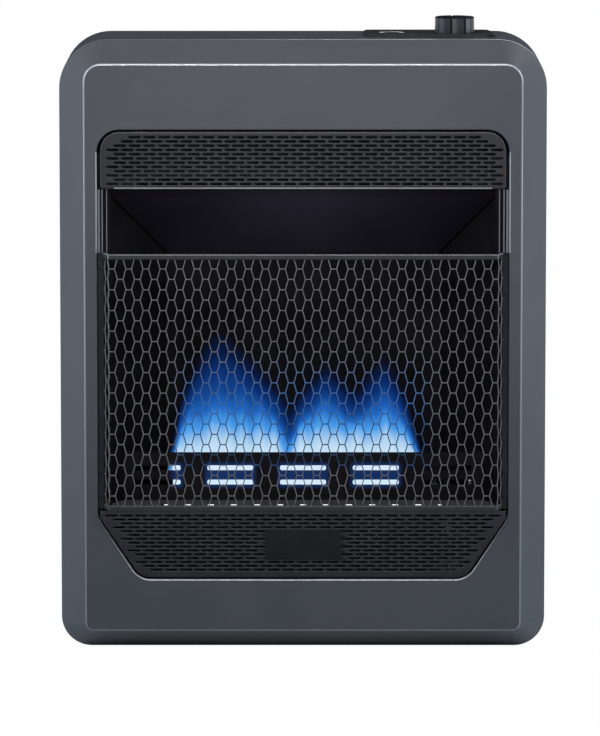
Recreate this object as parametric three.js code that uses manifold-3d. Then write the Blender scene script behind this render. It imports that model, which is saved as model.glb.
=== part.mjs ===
// A vent-free blue flame gas heater, as the separate sheet metal, burner, gas and control pieces
// that come apart on a bench. Millimetres, +Z up. The front faces -Y, and the origin is on the
// floor under the middle of the whole depth.

import * as THREE from 'three';
import { mergeGeometries, mergeVertices } from 'three/addons/utils/BufferGeometryUtils.js';
import Module from 'manifold-3d';

const wasm = await Module();
wasm.setup();

// Driving dimensions of the casing. Depths are measured back from the flat front face.
const casingWidth = 480;
const casingHeight = 604;
const casingDepth = 160;
const guardProud = 15;
const sheet = 1.2;
const seat = 0.25;
const overrun = 5;
const meltGap = 0.001;
const roundSteps = 5;
const slotEndSteps = 2;
const fineSides = 24;
const roundSides = 16;
const smallSides = 10;
const hexSides = 6;

// The front panel: a flat frame with a bevel all round, a rim lip, and one large opening.
const bevelDepth = 40;
const bevelSideWidth = 25.4;
const bevelEndWidth = 21.8;
const casingTopRadius = 48;
const casingBottomRadius = 30;
const ridgeTopRadius = 17;
const ridgeBottomRadius = 8;
const rimLipDepth = 10;
const rimLipRoot = 3;
const openingSideInset = 38;
const openingWidth = casingWidth - 2 * openingSideInset;
const openingTopInset = 85.6;
const openingBottomInset = 72.4;
const openingTopRadius = 22;
const openingBottomRadius = 20;
const openingCutRun = 39.3;
const openingCutRise = 64.6;
const openingFlangeDepth = 10;

// The casing behind it: a wrapped shell, a back panel and a base pan.
const backFlangeWidth = 16;
const baseFlangeWidth = 36;
const baseJoggle = 1.5;
const baseSlotLength = 60;
const baseSlotWidth = 6;
const baseSlotPitch = 90;
const baseSlotSpread = 60;
const backRecess = 2;
const keyholeSpacing = 240;
const keyholeDrop = 58;
const keyholeRadius = 5;
const keyholeNeck = 2.5;
const keyholeRise = 14;
const louvreWidth = 36;
const louvreHeight = 4;
const louvrePitch = 48;
const louvreCount = 7;
const louvreInset = 110;

// Screws of one size hold the panels.
const screwRadius = 2;
const screwHeadRadius = 4;
const screwHeadHeight = 1.6;
const screwReach = 7;
const screwClearance = 0.3;
const screwInset = 9;
const screwEndInset = 64;
const topScrewInset = 5;
const topScrewGap = 1.5;

// The perforated grilles. Each slot drawn stands for three by two of the real ones.
const slotLength = 37;
const slotHeight = 3.2;
const slotLand = 6.8;
const slotPitch = slotLength + slotLand;
const slotRowLand = 5.12;
const slotRowPitch = slotHeight + slotRowLand;
const grilleDepth = 4;
const grilleGap = 3.2;
const grilleHeight = 56;
const grilleTopGap = 2.4;
const grilleSlotMargin = 4;
const grilleLipHeight = 2.6;
const grilleLipThickness = 2.2;
const grilleLipInset = 10;
const grilleRows = 6;
const lowerGrilleGap = 2.5;
const lowerGrilleBack = 3;
const lowerGrilleRows = 7;
const lowerGrilleFirstRow = 8;
const plainPatchWidth = 82;
const plainPatchTop = 18;
const plainPatchHeight = 40;

// The wire guard in front of the fire, drawn at twice the real mesh pitch.
const guardTopInset = 206.6;
const guardBottomInset = 143.6;
const guardRailHeight = 5;
const guardRailThickness = 3;
const guardSideInset = 11;
const guardHalfWidth = openingWidth / 2 - guardSideInset;
const guardSplay = 5.5;
const guardReturnGap = 1;
const guardReturn = guardProud - guardReturnGap;
const meshThickness = 1.2;
const meshSetback = 1;
const meshColumnPitch = 16.75;
const meshCellHeight = 40.6;
const meshCellFlat = 10.8;
const meshStrand = 2.2;
const meshEdge = 3;
const guardFrameGap = 0.7;
const guardFrameDepth = 4.6;

// The firebox: splayed side walls, a rear wall, a sloping hood, a tray and a slotted shield.
const fireboxSheet = 1;
const fireboxSideInset = 12.8;
const fireboxSplay = 51.9;
const fireboxFrontHalf = openingWidth / 2 - fireboxSideInset;
const fireboxRearHalf = fireboxFrontHalf - fireboxSplay;
const fireboxDepth = 105;
const fireboxRearFlange = 13;
const sideSeat = 0.4;
const hoodRearDrop = 65;
const hoodLip = 10;
const hoodFrontDrop = 8;
const ledgeDrop = 0.4;
const trayDrop = 19;
const fireboxFootDrop = 9.2;
const trayLedge = guardBottomInset + guardRailHeight - ledgeDrop;
const trayFloor = trayLedge - trayDrop;
const fireboxFoot = trayFloor - fireboxFootDrop;
const ledgeSlotWidth = 6;
const ledgeSlotLength = 13;
const ledgeSlotPitch = 22.7;
const ledgeSlotCount = 13;
const ledgeSlotDepth = -0.5;
const shieldDepth = 26.5;
const shieldLedgeMargin = 2;
const trayStepDepth = shieldDepth + shieldLedgeMargin;
const shieldHeight = 47.6;
const shieldReturn = 12;
const shieldSlotLength = 45.6;
const shieldSlotHeight = 5;
const shieldSlotPitch = 72;
const shieldSlotRows = [32.3, 18];
const leadWindowWidth = 40;
const leadWindowDepth = 12;

// The burner: a ported tube across the firebox, fed by an injector outside its right wall.
const burnerRise = 28.8;
const burnerHeight = trayFloor + burnerRise;
const burnerRadius = 12;
const burnerWall = 1.2;
const burnerEndGap = 11.8;
const burnerOutside = 14.2;
const burnerPortInset = 22;
const burnerPortTail = 64;
const burnerPortCount = 13;
const burnerPortLength = 12;
const burnerPortWidth = 2.4;
const burnerHoleClearance = 1.5;
const saddleThickness = 2;
const saddleWidth = 34;
const saddleEndInset = 53;
const saddleShift = 33;
const saddleFoot = 12;
const shutterLength = 12;
const shutterWall = 1;
const injectorReach = 10;
const injectorRadius = 5;
const injectorThread = 3.5;
const injectorBore = 1;
const injectorPlate = 2;
const injectorArm = 24;
const fittingLength = 11;
const fittingRadius = 8;

// The oxygen-sensing pilot beside the burner's right end.
const pilotBesideRear = 5.7;
const pilotFrontGap = 2.3;
const pilotBurnerGap = 2;
const pilotPlateRise = 19.8;
const pilotPlateLength = 44;
const pilotPlateWidth = 14;
const pilotX = fireboxRearHalf + pilotBesideRear;
const pilotDepth = shieldDepth + sheet + pilotFrontGap + pilotPlateWidth / 2;
const burnerDepth = pilotDepth + pilotPlateWidth / 2 + pilotBurnerGap + burnerRadius;
const pilotPlateHeight = trayFloor + pilotPlateRise;
const pilotFootLength = 9;
const pilotSpacing = 12;
const pilotRadius = 4.5;
const pilotReach = 23;
const pilotTail = 9;
const pilotShoulder = 1.2;
const thermocoupleRadius = 2.6;
const thermocoupleReach = 29;
const electrodeRadius = 3;
const electrodeCeramicReach = 15;
const electrodeReach = 28;
const electrodeTip = 0.9;

// The controls on the casing's top: a moulded plate, the gas valve and knob, and the igniter.
const controlInset = 55;
const controlDepth = casingDepth - controlInset;
const knobInset = 89.5;
const knobX = casingWidth / 2 - knobInset;
const igniterSpacing = 62.3;
const igniterX = knobX - igniterSpacing;
const knobRadius = 20;
const knobDraft = 0.5;
const knobProud = 18;
const knobTop = casingHeight + knobProud;
const knobHeight = 20;
const knobDishMargin = 8.5;
const knobDishRadius = knobRadius + knobDishMargin;
const knobDishDepth = 1.2;
const knobWall = 2.2;
const knobHubRadius = 7;
const knobHubTop = 14;
const knobEdge = 1;
const knobGap = 2;
const knobTravel = 4;
const knobBarWidth = 15;
const knobBarProud = 0.6;
const knobBarDrop = 1.4;
const knobTurnDegrees = 7.6;
const pointerLength = 9;
const pointerWidth = 1.6;
const pointerHeight = 0.3;
const spindleRadius = 4;
const spindleTopGap = 2;
const spindleTop = knobHubTop - spindleTopGap;
const spindleShoulderRadius = 6;
const spindleShoulderHeight = 2;
const spindleFit = 0.3;
const valveWidth = 46;
const valveDepth = 36;
const valveHeight = 44;
const valveBoreGap = 0.5;
const valveBoreRadius = spindleShoulderRadius + valveBoreGap;
const valveBoreFloor = 5;
const valveBoreRoof = 3;
const valveNeckRadius = 8;
const valveNutRadius = 12;
const valveNutHeight = 3;
const valveClearance = 0.75;
const valveBracketSheet = 1.5;
const valveBracketHalf = 32;
const valveBracketFlange = 9;
const valveBracketDepth = 50;
const plungerRadius = 3;
const plungerHeadHeight = 2;
const plungerStem = 8;
const plungerFloorGap = 1;
const plungerFromFloor = knobTravel + plungerFloorGap;
const buttonRadius = 7;
const buttonFit = 0.3;
const igniterWall = 1.7;
const igniterNeckRadius = buttonRadius + buttonFit + igniterWall;
const igniterNutRim = 4;
const igniterNutRadius = igniterNeckRadius + igniterNutRim;
const igniterNutHeight = 1.8;
const igniterRecessGap = 0.8;
const igniterRecessRadius = igniterNutRadius + igniterRecessGap;
const igniterNeckProud = 1.4;
const igniterFlangeRadius = 11.5;
const igniterFlangeHeight = 3;
const igniterBodyRadius = 9;
const igniterBodyLength = 42;
const igniterBoreLength = 27;
const buttonLength = 20;
const buttonProud = 0.5;
const plateLeftMargin = 13.4;
const plateRightMargin = 12;
const plateEndMargin = 4;
const plateLeft = igniterX - igniterRecessRadius - plateLeftMargin;
const plateWidth = knobX + knobDishRadius + plateRightMargin - plateLeft;
const plateDepth = 2 * (knobDishRadius + plateEndMargin);
const plateThickness = 2.5;
const plateRadius = 20;

// The gas line: inlet fitting, pressure regulator, and the pipes and leads.
const regulatorKnobShift = 0.5;
const regulatorX = knobX - regulatorKnobShift;
const regulatorHeight = 53;
const regulatorRadius = 26;
const regulatorThickness = 24;
const regulatorCapRadius = 15;
const regulatorCapHeight = 10;
const portRadius = 8;
const portReach = 6;
const regulatorBackGap = 13;
const regulatorDepth = casingDepth - regulatorRadius - portReach - regulatorBackGap;
const regulatorPostWidth = 22;
const regulatorPostFoot = 14;
const inletRadius = 9;
const inletRecess = 1;
const inletHoleClearance = 2;
const pipeRadius = 4;
const pipeNutRadius = 7;
const pipeNutLength = 10;
const pipeBend = 10;
const pipeLane = 22;
const supplyPortRise = 34;
const supplyPortShift = 10;
const burnerPortRise = 14;
const pilotPipeRadius = 2.2;
const thermocoupleLeadRadius = 1.5;
const ignitionLeadRadius = 2;
const leadBend = 8;
const leadLane = 11.5;
const pilotLaneDepth = 60;
const thermocoupleLaneDepth = 70;
const ignitionLaneDepth = 80;
const pilotFloorDrop = 19.2;
const thermocoupleFloorDrop = 13.2;
const ignitionFloorDrop = 26.2;
const pilotCrossDrop = 18;
const thermocoupleCrossDrop = 27;
const ignitionCrossDrop = 37;
const pilotValveShift = 8;
const thermocoupleValveShift = 5;

// Places worked out from the driving dimensions.
const frontY = -(casingDepth + guardProud) / 2;
const faceY = frontY + guardProud;
const backY = faceY + casingDepth;
const rimY = faceY + bevelDepth;
const halfWidth = casingWidth / 2;
const ridgeHalf = halfWidth - bevelSideWidth;
const openingHalf = openingWidth / 2;
const openingTop = casingHeight - openingTopInset;
const openingBottom = openingBottomInset;
const cutTop = openingBottom + openingCutRise;
const backPanelY = backY - backRecess - sheet;
const backFlangeY = backPanelY - seat - sheet;
const guardTop = casingHeight - guardTopInset;
const guardBottom = guardBottomInset;
const fireboxFrontDepth = grilleDepth + sheet + seat;
const fireboxTop = openingTop - grilleTopGap - grilleHeight;
const hoodFront = fireboxTop - hoodFrontDrop;
const hoodRear = hoodFront - hoodRearDrop;
const lidUnderside = casingHeight - sheet;
const knobBase = knobTop - knobHeight;
const bracketTop = knobBase - knobTravel - valveClearance - valveNutHeight;
const valveTop = bracketTop - valveBracketSheet - seat;
const valveBottom = valveTop - valveHeight;
const controlY = faceY + controlDepth;
const burnerY = faceY + burnerDepth;
const burnerHalf = fireboxHalfAt(burnerDepth);
const burnerLeft = burnerEndGap - burnerHalf;
const burnerRight = burnerHalf + burnerOutside;
const burnerPortLeft = burnerLeft + burnerPortInset;
const burnerPortRight = burnerRight - burnerPortTail;
const saddleCentre = (burnerLeft + burnerRight) / 2 - saddleShift;
const saddleSpread = (burnerRight - burnerLeft) / 2 - saddleEndInset;
const pilotY = faceY + pilotDepth;

// Finishes
const finish = (color, roughness, metalness) =>
  new THREE.MeshStandardMaterial({ color, roughness, metalness });
const greyEnamel = finish(0x4b5057, 0.42, 0.35);
const blackEnamel = finish(0x1f2023, 0.6, 0.2);
const hotSteel = finish(0x17171a, 0.7, 0.4);
const zincSteel = finish(0x9aa0a5, 0.45, 0.85);
const brass = finish(0xb08d4a, 0.35, 0.9);
const castAlloy = finish(0x8b8d90, 0.55, 0.7);
const ceramic = finish(0xe8e4da, 0.5, 0);
const glossPlastic = finish(0x121318, 0.18, 0);
const satinPlastic = finish(0x26272a, 0.45, 0);
const leadSleeve = finish(0x8a3a2a, 0.7, 0);

// Solids: a closed geometry becomes a body that can be cut and joined, and comes back again.
function body(geometry) {
  const bare = geometry.clone();
  bare.deleteAttribute('normal');
  bare.deleteAttribute('uv');
  const merged = mergeVertices(bare, meltGap);
  return new wasm.Manifold(new wasm.Mesh({
    numProp: 3,
    vertProperties: new Float32Array(merged.attributes.position.array),
    triVerts: new Uint32Array(merged.index.array),
  }));
}

function shapeOf(solid) {
  const mesh = solid.getMesh();
  const geometry = new THREE.BufferGeometry();
  geometry.setAttribute('position', new THREE.BufferAttribute(mesh.vertProperties, 3));
  geometry.setIndex(new THREE.BufferAttribute(mesh.triVerts, 1));
  const faceted = geometry.toNonIndexed();
  faceted.computeVertexNormals();
  return faceted;
}

const join = (first, ...others) => others.reduce((sum, next) => sum.add(next), first);
const cut = (first, ...others) => others.reduce((rest, next) => rest.subtract(next), first);
const mirrored = (geometry) => {
  const copy = geometry.clone().applyMatrix4(new THREE.Matrix4().makeScale(-1, 1, 1));
  const flat = copy.index ? copy.toNonIndexed() : copy;
  const place = flat.attributes.position;
  const corner = new THREE.Vector3();
  const last = new THREE.Vector3();
  for (let i = 0; i < place.count; i += 3) {
    corner.fromBufferAttribute(place, i + 1);
    last.fromBufferAttribute(place, i + 2);
    place.setXYZ(i + 1, last.x, last.y, last.z);
    place.setXYZ(i + 2, corner.x, corner.y, corner.z);
  }
  flat.computeVertexNormals();
  return flat;
};

// Outlines are lists of points. Corners come as [across, up, radius], counter-clockwise.
const point = (across, up) => new THREE.Vector2(across, up);

function outline(corners, grow = 0, steps = roundSteps) {
  const count = corners.length;
  const edges = corners.map((corner, i) => {
    const next = corners[(i + 1) % count];
    const along = point(next[0] - corner[0], next[1] - corner[1]).normalize();
    const start = point(corner[0] + along.y * grow, corner[1] - along.x * grow);
    return { start, along };
  });
  return corners.flatMap(([, , radius = 0], i) => {
    const before = edges[(i + count - 1) % count];
    const after = edges[i];
    const gap = after.start.clone().sub(before.start);
    const reach = gap.cross(after.along) / before.along.cross(after.along);
    const meet = before.start.clone().addScaledVector(before.along, reach);
    if (radius <= 0) return [meet];
    const turn = before.along.angleTo(after.along);
    const round = Math.max(radius + grow, seat);
    const tangent = round * Math.tan(turn / 2);
    const from = meet.clone().addScaledVector(before.along, -tangent);
    const centre = point(from.x - before.along.y * round, from.y + before.along.x * round);
    return Array.from({ length: steps + 1 }, (_, k) =>
      from.clone().rotateAround(centre, (turn * k) / steps));
  });
}

const box = (left, right, low, high, radius = 0, steps = roundSteps) => outline([
  [left, low, radius], [right, low, radius], [right, high, radius], [left, high, radius],
], 0, steps);

function circle(across, up, radius, sides = roundSides) {
  return Array.from({ length: sides }, (_, k) => {
    const angle = (2 * Math.PI * (k + 1 / 2)) / sides;
    return point(across + radius * Math.cos(angle), up + radius * Math.sin(angle));
  });
}

// A sheet folded along an open path, its thickness laid to the left of the path.
function folded(path, thickness) {
  const corners = path.map(([across, up]) => point(across, up));
  const normals = corners.slice(1).map((corner, i) => {
    const along = corner.clone().sub(corners[i]).normalize();
    return point(-along.y, along.x);
  });
  const far = corners.map((corner, i) => {
    const before = normals[Math.max(i - 1, 0)];
    const after = normals[Math.min(i, normals.length - 1)];
    const scale = thickness / (1 + before.dot(after));
    return corner.clone().addScaledVector(before, scale).addScaledVector(after, scale);
  });
  return [...corners, ...far.reverse()];
}

function prism(points, length) {
  return new THREE.ExtrudeGeometry(new THREE.Shape(points), {
    depth: length, bevelEnabled: false, steps: 1,
  });
}

// The outline lies in X and Y, in X and Z, or in Y and Z.
const alongZ = (points, low, high) => prism(points, high - low).translate(0, 0, low);
const alongY = (points, front, back) =>
  prism(points, back - front).rotateX(Math.PI / 2).translate(0, back, 0);
const alongX = (points, left, right) => prism(points, right - left).applyMatrix4(
  new THREE.Matrix4().makeBasis(
    new THREE.Vector3(0, 1, 0), new THREE.Vector3(0, 0, 1), new THREE.Vector3(1, 0, 0),
  )).translate(left, 0, 0);

// A turned piece on a vertical axis. The profile holds [radius, height] from axis to axis,
// or closes on itself.
function turned(profile, x, y, sides = roundSides) {
  const points = profile.map(([radius, height]) => point(radius, height));
  return new THREE.LatheGeometry(points, sides).rotateX(Math.PI / 2).translate(x, y, 0);
}

// A closed skin through rings that have the same number of points, one ring behind the next.
function loft(rings) {
  const size = rings[0].points.length;
  const places = rings.flatMap(({ y, points }) => points.flatMap((p) => [p.x, y, p.y]));
  const faces = [];
  for (let ring = 0; ring + 1 < rings.length; ring += 1) {
    for (let i = 0; i < size; i += 1) {
      const a = ring * size + i;
      const b = ring * size + ((i + 1) % size);
      faces.push(a, b, b + size, a, b + size, a + size);
    }
  }
  const cap = THREE.ShapeUtils.triangulateShape(rings[0].points, []);
  const end = (rings.length - 1) * size;
  cap.forEach(([a, b, c]) => faces.push(c, b, a, a + end, b + end, c + end));
  const geometry = new THREE.BufferGeometry();
  geometry.setAttribute('position', new THREE.Float32BufferAttribute(places, 3));
  geometry.setIndex(faces);
  const solid = geometry.toNonIndexed();
  solid.computeVertexNormals();
  return signedVolume(solid) < 0 ? flipped(solid) : solid;
}

function signedVolume(geometry) {
  const place = geometry.attributes.position;
  const [a, b, c] = [new THREE.Vector3(), new THREE.Vector3(), new THREE.Vector3()];
  let sum = 0;
  for (let i = 0; i < place.count; i += 3) {
    a.fromBufferAttribute(place, i);
    b.fromBufferAttribute(place, i + 1);
    c.fromBufferAttribute(place, i + 2);
    sum += a.dot(b.cross(c));
  }
  return sum;
}

function flipped(geometry) {
  const back = mirrored(geometry);
  return back.applyMatrix4(new THREE.Matrix4().makeScale(-1, 1, 1));
}

// A pipe or lead: straight runs with a rounded bend at each corner.
class BentPath extends THREE.Curve {
  constructor(corners, bend) {
    super();
    const stops = corners.map((corner) => new THREE.Vector3(...corner));
    this.stops = stops.flatMap((stop, i) => {
      if (i === 0 || i === stops.length - 1) return [stop];
      const toBefore = stops[i - 1].clone().sub(stop);
      const toAfter = stops[i + 1].clone().sub(stop);
      const room = Math.min(bend, toBefore.length() / 2, toAfter.length() / 2);
      const from = stop.clone().addScaledVector(toBefore.normalize(), room);
      const to = stop.clone().addScaledVector(toAfter.normalize(), room);
      const middle = new THREE.QuadraticBezierCurve3(from, stop, to).getPoint(1 / 2);
      return [from, middle, to];
    });
  }

  get runs() {
    return this.stops.length - 1;
  }

  getPointAt(share) {
    const place = share * this.runs;
    const index = Math.min(Math.floor(place), this.runs - 1);
    return this.stops[index].clone().lerp(this.stops[index + 1], place - index);
  }

  getTangentAt(share) {
    const index = Math.round(share * this.runs);
    const before = this.stops[Math.max(index - 1, 0)];
    const after = this.stops[Math.min(index + 1, this.runs)];
    return after.clone().sub(before).normalize();
  }
}

function pipe(corners, radius, bend, sides = smallSides) {
  const path = new BentPath(corners, bend);
  const section = new THREE.Shape(circle(0, 0, radius, sides));
  return new THREE.ExtrudeGeometry(section, {
    steps: path.runs, extrudePath: path, bevelEnabled: false,
  });
}

function piece(name, geometry, material) {
  const mesh = new THREE.Mesh(geometry, material);
  mesh.name = name;
  return mesh;
}

// Shared outlines, seen from the front
const casingOutline = (grow = 0, width = halfWidth, low = 0, high = casingHeight) => outline([
  [-width, low, casingBottomRadius], [width, low, casingBottomRadius],
  [width, high, casingTopRadius], [-width, high, casingTopRadius],
], grow);

const ridgeOutline = (grow = 0) => outline([
  [-ridgeHalf, bevelEndWidth, ridgeBottomRadius],
  [ridgeHalf, bevelEndWidth, ridgeBottomRadius],
  [ridgeHalf, casingHeight - bevelEndWidth, ridgeTopRadius],
  [-ridgeHalf, casingHeight - bevelEndWidth, ridgeTopRadius],
], grow);

const openingCorners = [
  [-openingHalf + openingCutRun, openingBottom, openingBottomRadius],
  [openingHalf - openingCutRun, openingBottom, openingBottomRadius],
  [openingHalf, cutTop, openingBottomRadius],
  [openingHalf, openingTop, openingTopRadius],
  [-openingHalf, openingTop, openingTopRadius],
  [-openingHalf, cutTop, openingBottomRadius],
];

function openingHalfAt(height) {
  if (height >= cutTop) return openingHalf;
  return openingHalf - (openingCutRun * (cutTop - height)) / openingCutRise;
}

// Front panel, pressed from one sheet
function frontPanel() {
  const bevelSlope = Math.hypot(bevelDepth, bevelSideWidth) / bevelDepth;
  const wall = sheet * bevelSlope;
  const backset = sheet / bevelDepth;
  const innerRidge = ridgeOutline(backset * bevelSideWidth - wall);
  const outer = loft([
    { y: rimY, points: casingOutline() }, { y: faceY, points: ridgeOutline() },
  ]);
  const inner = loft([
    { y: rimY + overrun, points: casingOutline(-wall) },
    { y: rimY, points: casingOutline(-wall) }, { y: faceY + sheet, points: innerRidge },
  ]);
  const lip = cut(
    body(alongY(casingOutline(-sheet - seat), rimY - rimLipRoot, rimY + rimLipDepth)),
    body(alongY(casingOutline(-sheet - seat - sheet),
      rimY - rimLipRoot - overrun, rimY + rimLipDepth + overrun)),
  );
  const flange = body(alongY(outline(openingCorners, sheet), faceY, faceY + openingFlangeDepth));
  const hole = body(alongY(outline(openingCorners), faceY - overrun, rimY));
  const shell = cut(body(outer), body(inner));
  return piece('front_panel', shapeOf(cut(join(shell, lip, flange), hole)), greyEnamel);
}

// Casing shell: one sheet wrapped round the sides, the top and the lower corners
function cabinetWrap() {
  const skin = cut(
    body(alongY(casingOutline(), rimY + seat, backY)),
    body(alongY(casingOutline(-sheet), rimY, backFlangeY)),
    body(alongY(casingOutline(-sheet), backFlangeY + sheet, backY + overrun)),
    body(alongY(casingOutline(-backFlangeWidth), rimY, backY + overrun)),
  );
  const baseHalf = halfWidth - casingBottomRadius - baseFlangeWidth;
  const baseGap = body(alongY(box(-baseHalf, baseHalf, -overrun, sheet + seat),
    rimY - overrun, backFlangeY));
  const knobHole = body(alongZ(circle(knobX, controlY, knobRadius + knobGap, fineSides),
    lidUnderside - overrun, casingHeight + overrun));
  const igniterHole = body(alongZ(circle(igniterX, controlY, igniterNeckRadius + spindleFit),
    lidUnderside - overrun, casingHeight + overrun));
  const topScrewHole = body(alongZ(
    circle(topScrewX, topScrewY, screwRadius + screwClearance, smallSides),
    lidUnderside - overrun, casingHeight + overrun));
  const backHoles = backScrewPlaces.map(([x, z]) => body(alongY(
    circle(x, z, screwRadius + screwClearance, smallSides), backFlangeY - overrun, backY)));
  return piece('cabinet_wrap',
    shapeOf(cut(skin, baseGap, knobHole, igniterHole, topScrewHole, ...backHoles)), greyEnamel);
}

// Back panel with keyholes for the wall, louvres, the gas inlet hole and screw holes
function backPanel() {
  const outer = backPanelY + sheet;
  const plate = body(alongY(casingOutline(-sheet - seat), backPanelY, outer));
  const through = (points) => body(alongY(points, backPanelY - overrun, backY + overrun));
  const keyholeZ = casingHeight - keyholeDrop;
  const keyholes = [-1, 1].flatMap((side) => {
    const x = (side * keyholeSpacing) / 2;
    return [
      through(circle(x, keyholeZ, keyholeRadius)),
      through(box(x - keyholeNeck, x + keyholeNeck, keyholeZ, keyholeZ + keyholeRise)),
    ];
  });
  const louvres = [louvreInset, casingHeight - louvreInset].flatMap((z) =>
    Array.from({ length: louvreCount }, (_, i) => {
      const x = (i - (louvreCount - 1) / 2) * louvrePitch;
      return through(box(x - louvreWidth / 2, x + louvreWidth / 2,
        z - louvreHeight / 2, z + louvreHeight / 2));
    }));
  const inletHole = through(circle(regulatorX, regulatorHeight, inletRadius + inletHoleClearance));
  const screwHoles = backScrewPlaces.map(([x, z]) =>
    through(circle(x, z, screwRadius + screwClearance, smallSides)));
  return piece('back_panel',
    shapeOf(cut(plate, ...keyholes, ...louvres, inletHole, ...screwHoles)), greyEnamel);
}

// Base pan, joggled up over the casing's lower flanges
function basePan() {
  const inner = halfWidth - casingBottomRadius - baseFlangeWidth - seat;
  const outer = halfWidth - casingBottomRadius;
  const lift = sheet + seat;
  const section = folded([
    [-outer, lift], [-inner, lift], [-inner + baseJoggle, 0],
    [inner - baseJoggle, 0], [inner, lift], [outer, lift],
  ], sheet);
  const front = rimY + rimLipDepth + seat;
  const back = backFlangeY - seat;
  const pan = body(alongY(section, front, back));
  const middle = (front + back) / 2;
  const slotGap = baseSlotPitch - baseSlotLength;
  const slotCount = Math.floor((2 * inner + slotGap) / baseSlotPitch);
  const slots = Array.from({ length: slotCount }).flatMap((_, i) =>
    [-1, 1].map((side) => {
      const x = (i - (slotCount - 1) / 2) * baseSlotPitch;
      const y = middle + (side * baseSlotSpread) / 2;
      return body(alongZ(box(x - baseSlotLength / 2, x + baseSlotLength / 2,
        y - baseSlotWidth / 2, y + baseSlotWidth / 2), -overrun, overrun));
    }));
  return piece('base_pan', shapeOf(cut(pan, ...slots)), zincSteel);
}

// Pan-head screws
const backScrewPlaces = [-1, 1].flatMap((side) =>
  [screwEndInset, casingHeight / 2, casingHeight - screwEndInset].map((z) =>
    [side * (halfWidth - screwInset), z]));
const topScrewX = plateLeft + plateWidth - topScrewInset;
const topScrewY = controlY - plateDepth / 2 - topScrewGap;

function screwProfile() {
  return [
    [0, -screwReach], [screwRadius, -screwReach], [screwRadius, 0], [screwHeadRadius, 0],
    [screwHeadRadius, screwHeadHeight / 2], [screwHeadRadius * 3 / 4, screwHeadHeight],
    [0, screwHeadHeight],
  ];
}

function screws() {
  const back = backScrewPlaces.map(([x, z], i) => {
    const screw = turned(screwProfile(), 0, 0, smallSides).rotateX(-Math.PI / 2);
    return piece(`back_screw_${i + 1}`, screw.translate(x, backPanelY + sheet + seat, z),
      zincSteel);
  });
  const top = turned(screwProfile(), topScrewX, topScrewY, smallSides)
    .translate(0, 0, casingHeight + seat);
  return [...back, piece('top_screw', top, blackEnamel)];
}

// Upper grille: a perforated plate with a rolled lower edge
function upperGrille() {
  const half = openingHalf - grilleGap;
  const high = openingTop - grilleTopGap;
  const low = high - grilleHeight;
  const round = openingTopRadius - grilleGap;
  const front = faceY + grilleDepth;
  const plate = body(alongY(outline([
    [-half, low], [half, low], [half, high, round], [-half, high, round],
  ]), front, front + sheet));
  const lip = body(alongY(box(-half + grilleLipInset, half - grilleLipInset,
    low, low + grilleLipHeight), front + sheet - grilleLipThickness, front + sheet));
  const firstRow = low + grilleHeight / 2 + ((grilleRows - 1) * slotRowPitch) / 2;
  const slots = slotRow(grilleRows, firstRow, slotRowPitch, (z) => {
    const intoCorner = Math.max(z - (high - round), 0);
    return half - grilleSlotMargin - (round - Math.sqrt(round ** 2 - intoCorner ** 2));
  }).map(([x, z]) => alongY(slotAt(x, z), front - overrun, front + overrun));
  return piece('upper_grille', shapeOf(cut(join(plate, lip), body(mergeGeometries(slots)))),
    blackEnamel);
}

const slotAt = (x, z) => box(x - slotLength / 2, x + slotLength / 2,
  z - slotHeight / 2, z + slotHeight / 2);

function slotRow(rows, first, pitch, halfAt) {
  const places = [];
  for (let row = 0; row < rows; row += 1) {
    const z = first - row * pitch;
    const half = halfAt(z);
    const shift = row % 2 ? slotPitch / 2 : 0;
    const reach = Math.floor((half - slotLength / 2 - shift) / slotPitch);
    for (let i = -reach - (row % 2); i <= reach; i += 1) {
      places.push([i * slotPitch + shift, z]);
    }
  }
  return places;
}

// Lower grille: leans back from the guard's foot to the panel, with side cheeks
function lowerGrille() {
  const high = guardBottom - seat;
  const low = openingBottom + lowerGrilleGap;
  const front = frontY + meshSetback;
  const back = faceY + lowerGrilleBack;
  const rear = faceY + fireboxFrontDepth - seat;
  const inside = (grow) => body(alongY(outline(openingCorners, grow), frontY - overrun,
    rear + overrun));
  const across = (points) => body(alongX(points, -openingHalf, openingHalf));
  const leaning = across(folded([[rear, low], [back, low], [front, high], [rear, high]], -sheet));
  const wedge = across([point(back, low), point(rear, low), point(rear, high), point(front, high)]);
  const cheeks = cut(inside(-lowerGrilleGap), inside(-lowerGrilleGap - sheet)).intersect(wedge);
  const shell = join(leaning.intersect(inside(-lowerGrilleGap)), cheeks);
  const lean = Math.atan2(back - front, high - low);
  const drop = slotRowPitch * Math.cos(lean);
  const firstRow = high - lowerGrilleFirstRow;
  const slots = slotRow(lowerGrilleRows, firstRow, drop, (z) =>
    openingHalfAt(z) - lowerGrilleGap - grilleSlotMargin)
    .filter(([x, z]) => {
      const fromTop = high - z;
      const inPatch = fromTop > plainPatchTop && fromTop < plainPatchTop + plainPatchHeight;
      return !(inPatch && Math.abs(x) < (plainPatchWidth + slotLength) / 2);
    })
    .map(([x, z]) => {
      const depth = front + (high - z) * Math.tan(lean);
      const slot = alongY(slotAt(x, 0), -overrun, overrun).rotateX(-lean);
      return slot.translate(0, depth, z);
    });
  return piece('lower_grille', shapeOf(cut(shell, body(mergeGeometries(slots)))), blackEnamel);
}

// Wire guard: plan of a strip that runs across the front and turns back at both ends
function guardPlan(setback, thickness) {
  const front = frontY + setback;
  const half = guardHalfWidth;
  const end = frontY + guardReturn;
  return folded([
    [-half - guardSplay, end], [-half, front], [half, front], [half + guardSplay, end],
  ], thickness);
}

function guardRails() {
  const rail = (low) => alongZ(guardPlan(0, guardRailThickness), low, low + guardRailHeight);
  return [
    piece('guard_top_rail', rail(guardTop - guardRailHeight), blackEnamel),
    piece('guard_bottom_rail', rail(guardBottom), blackEnamel),
  ];
}

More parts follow.
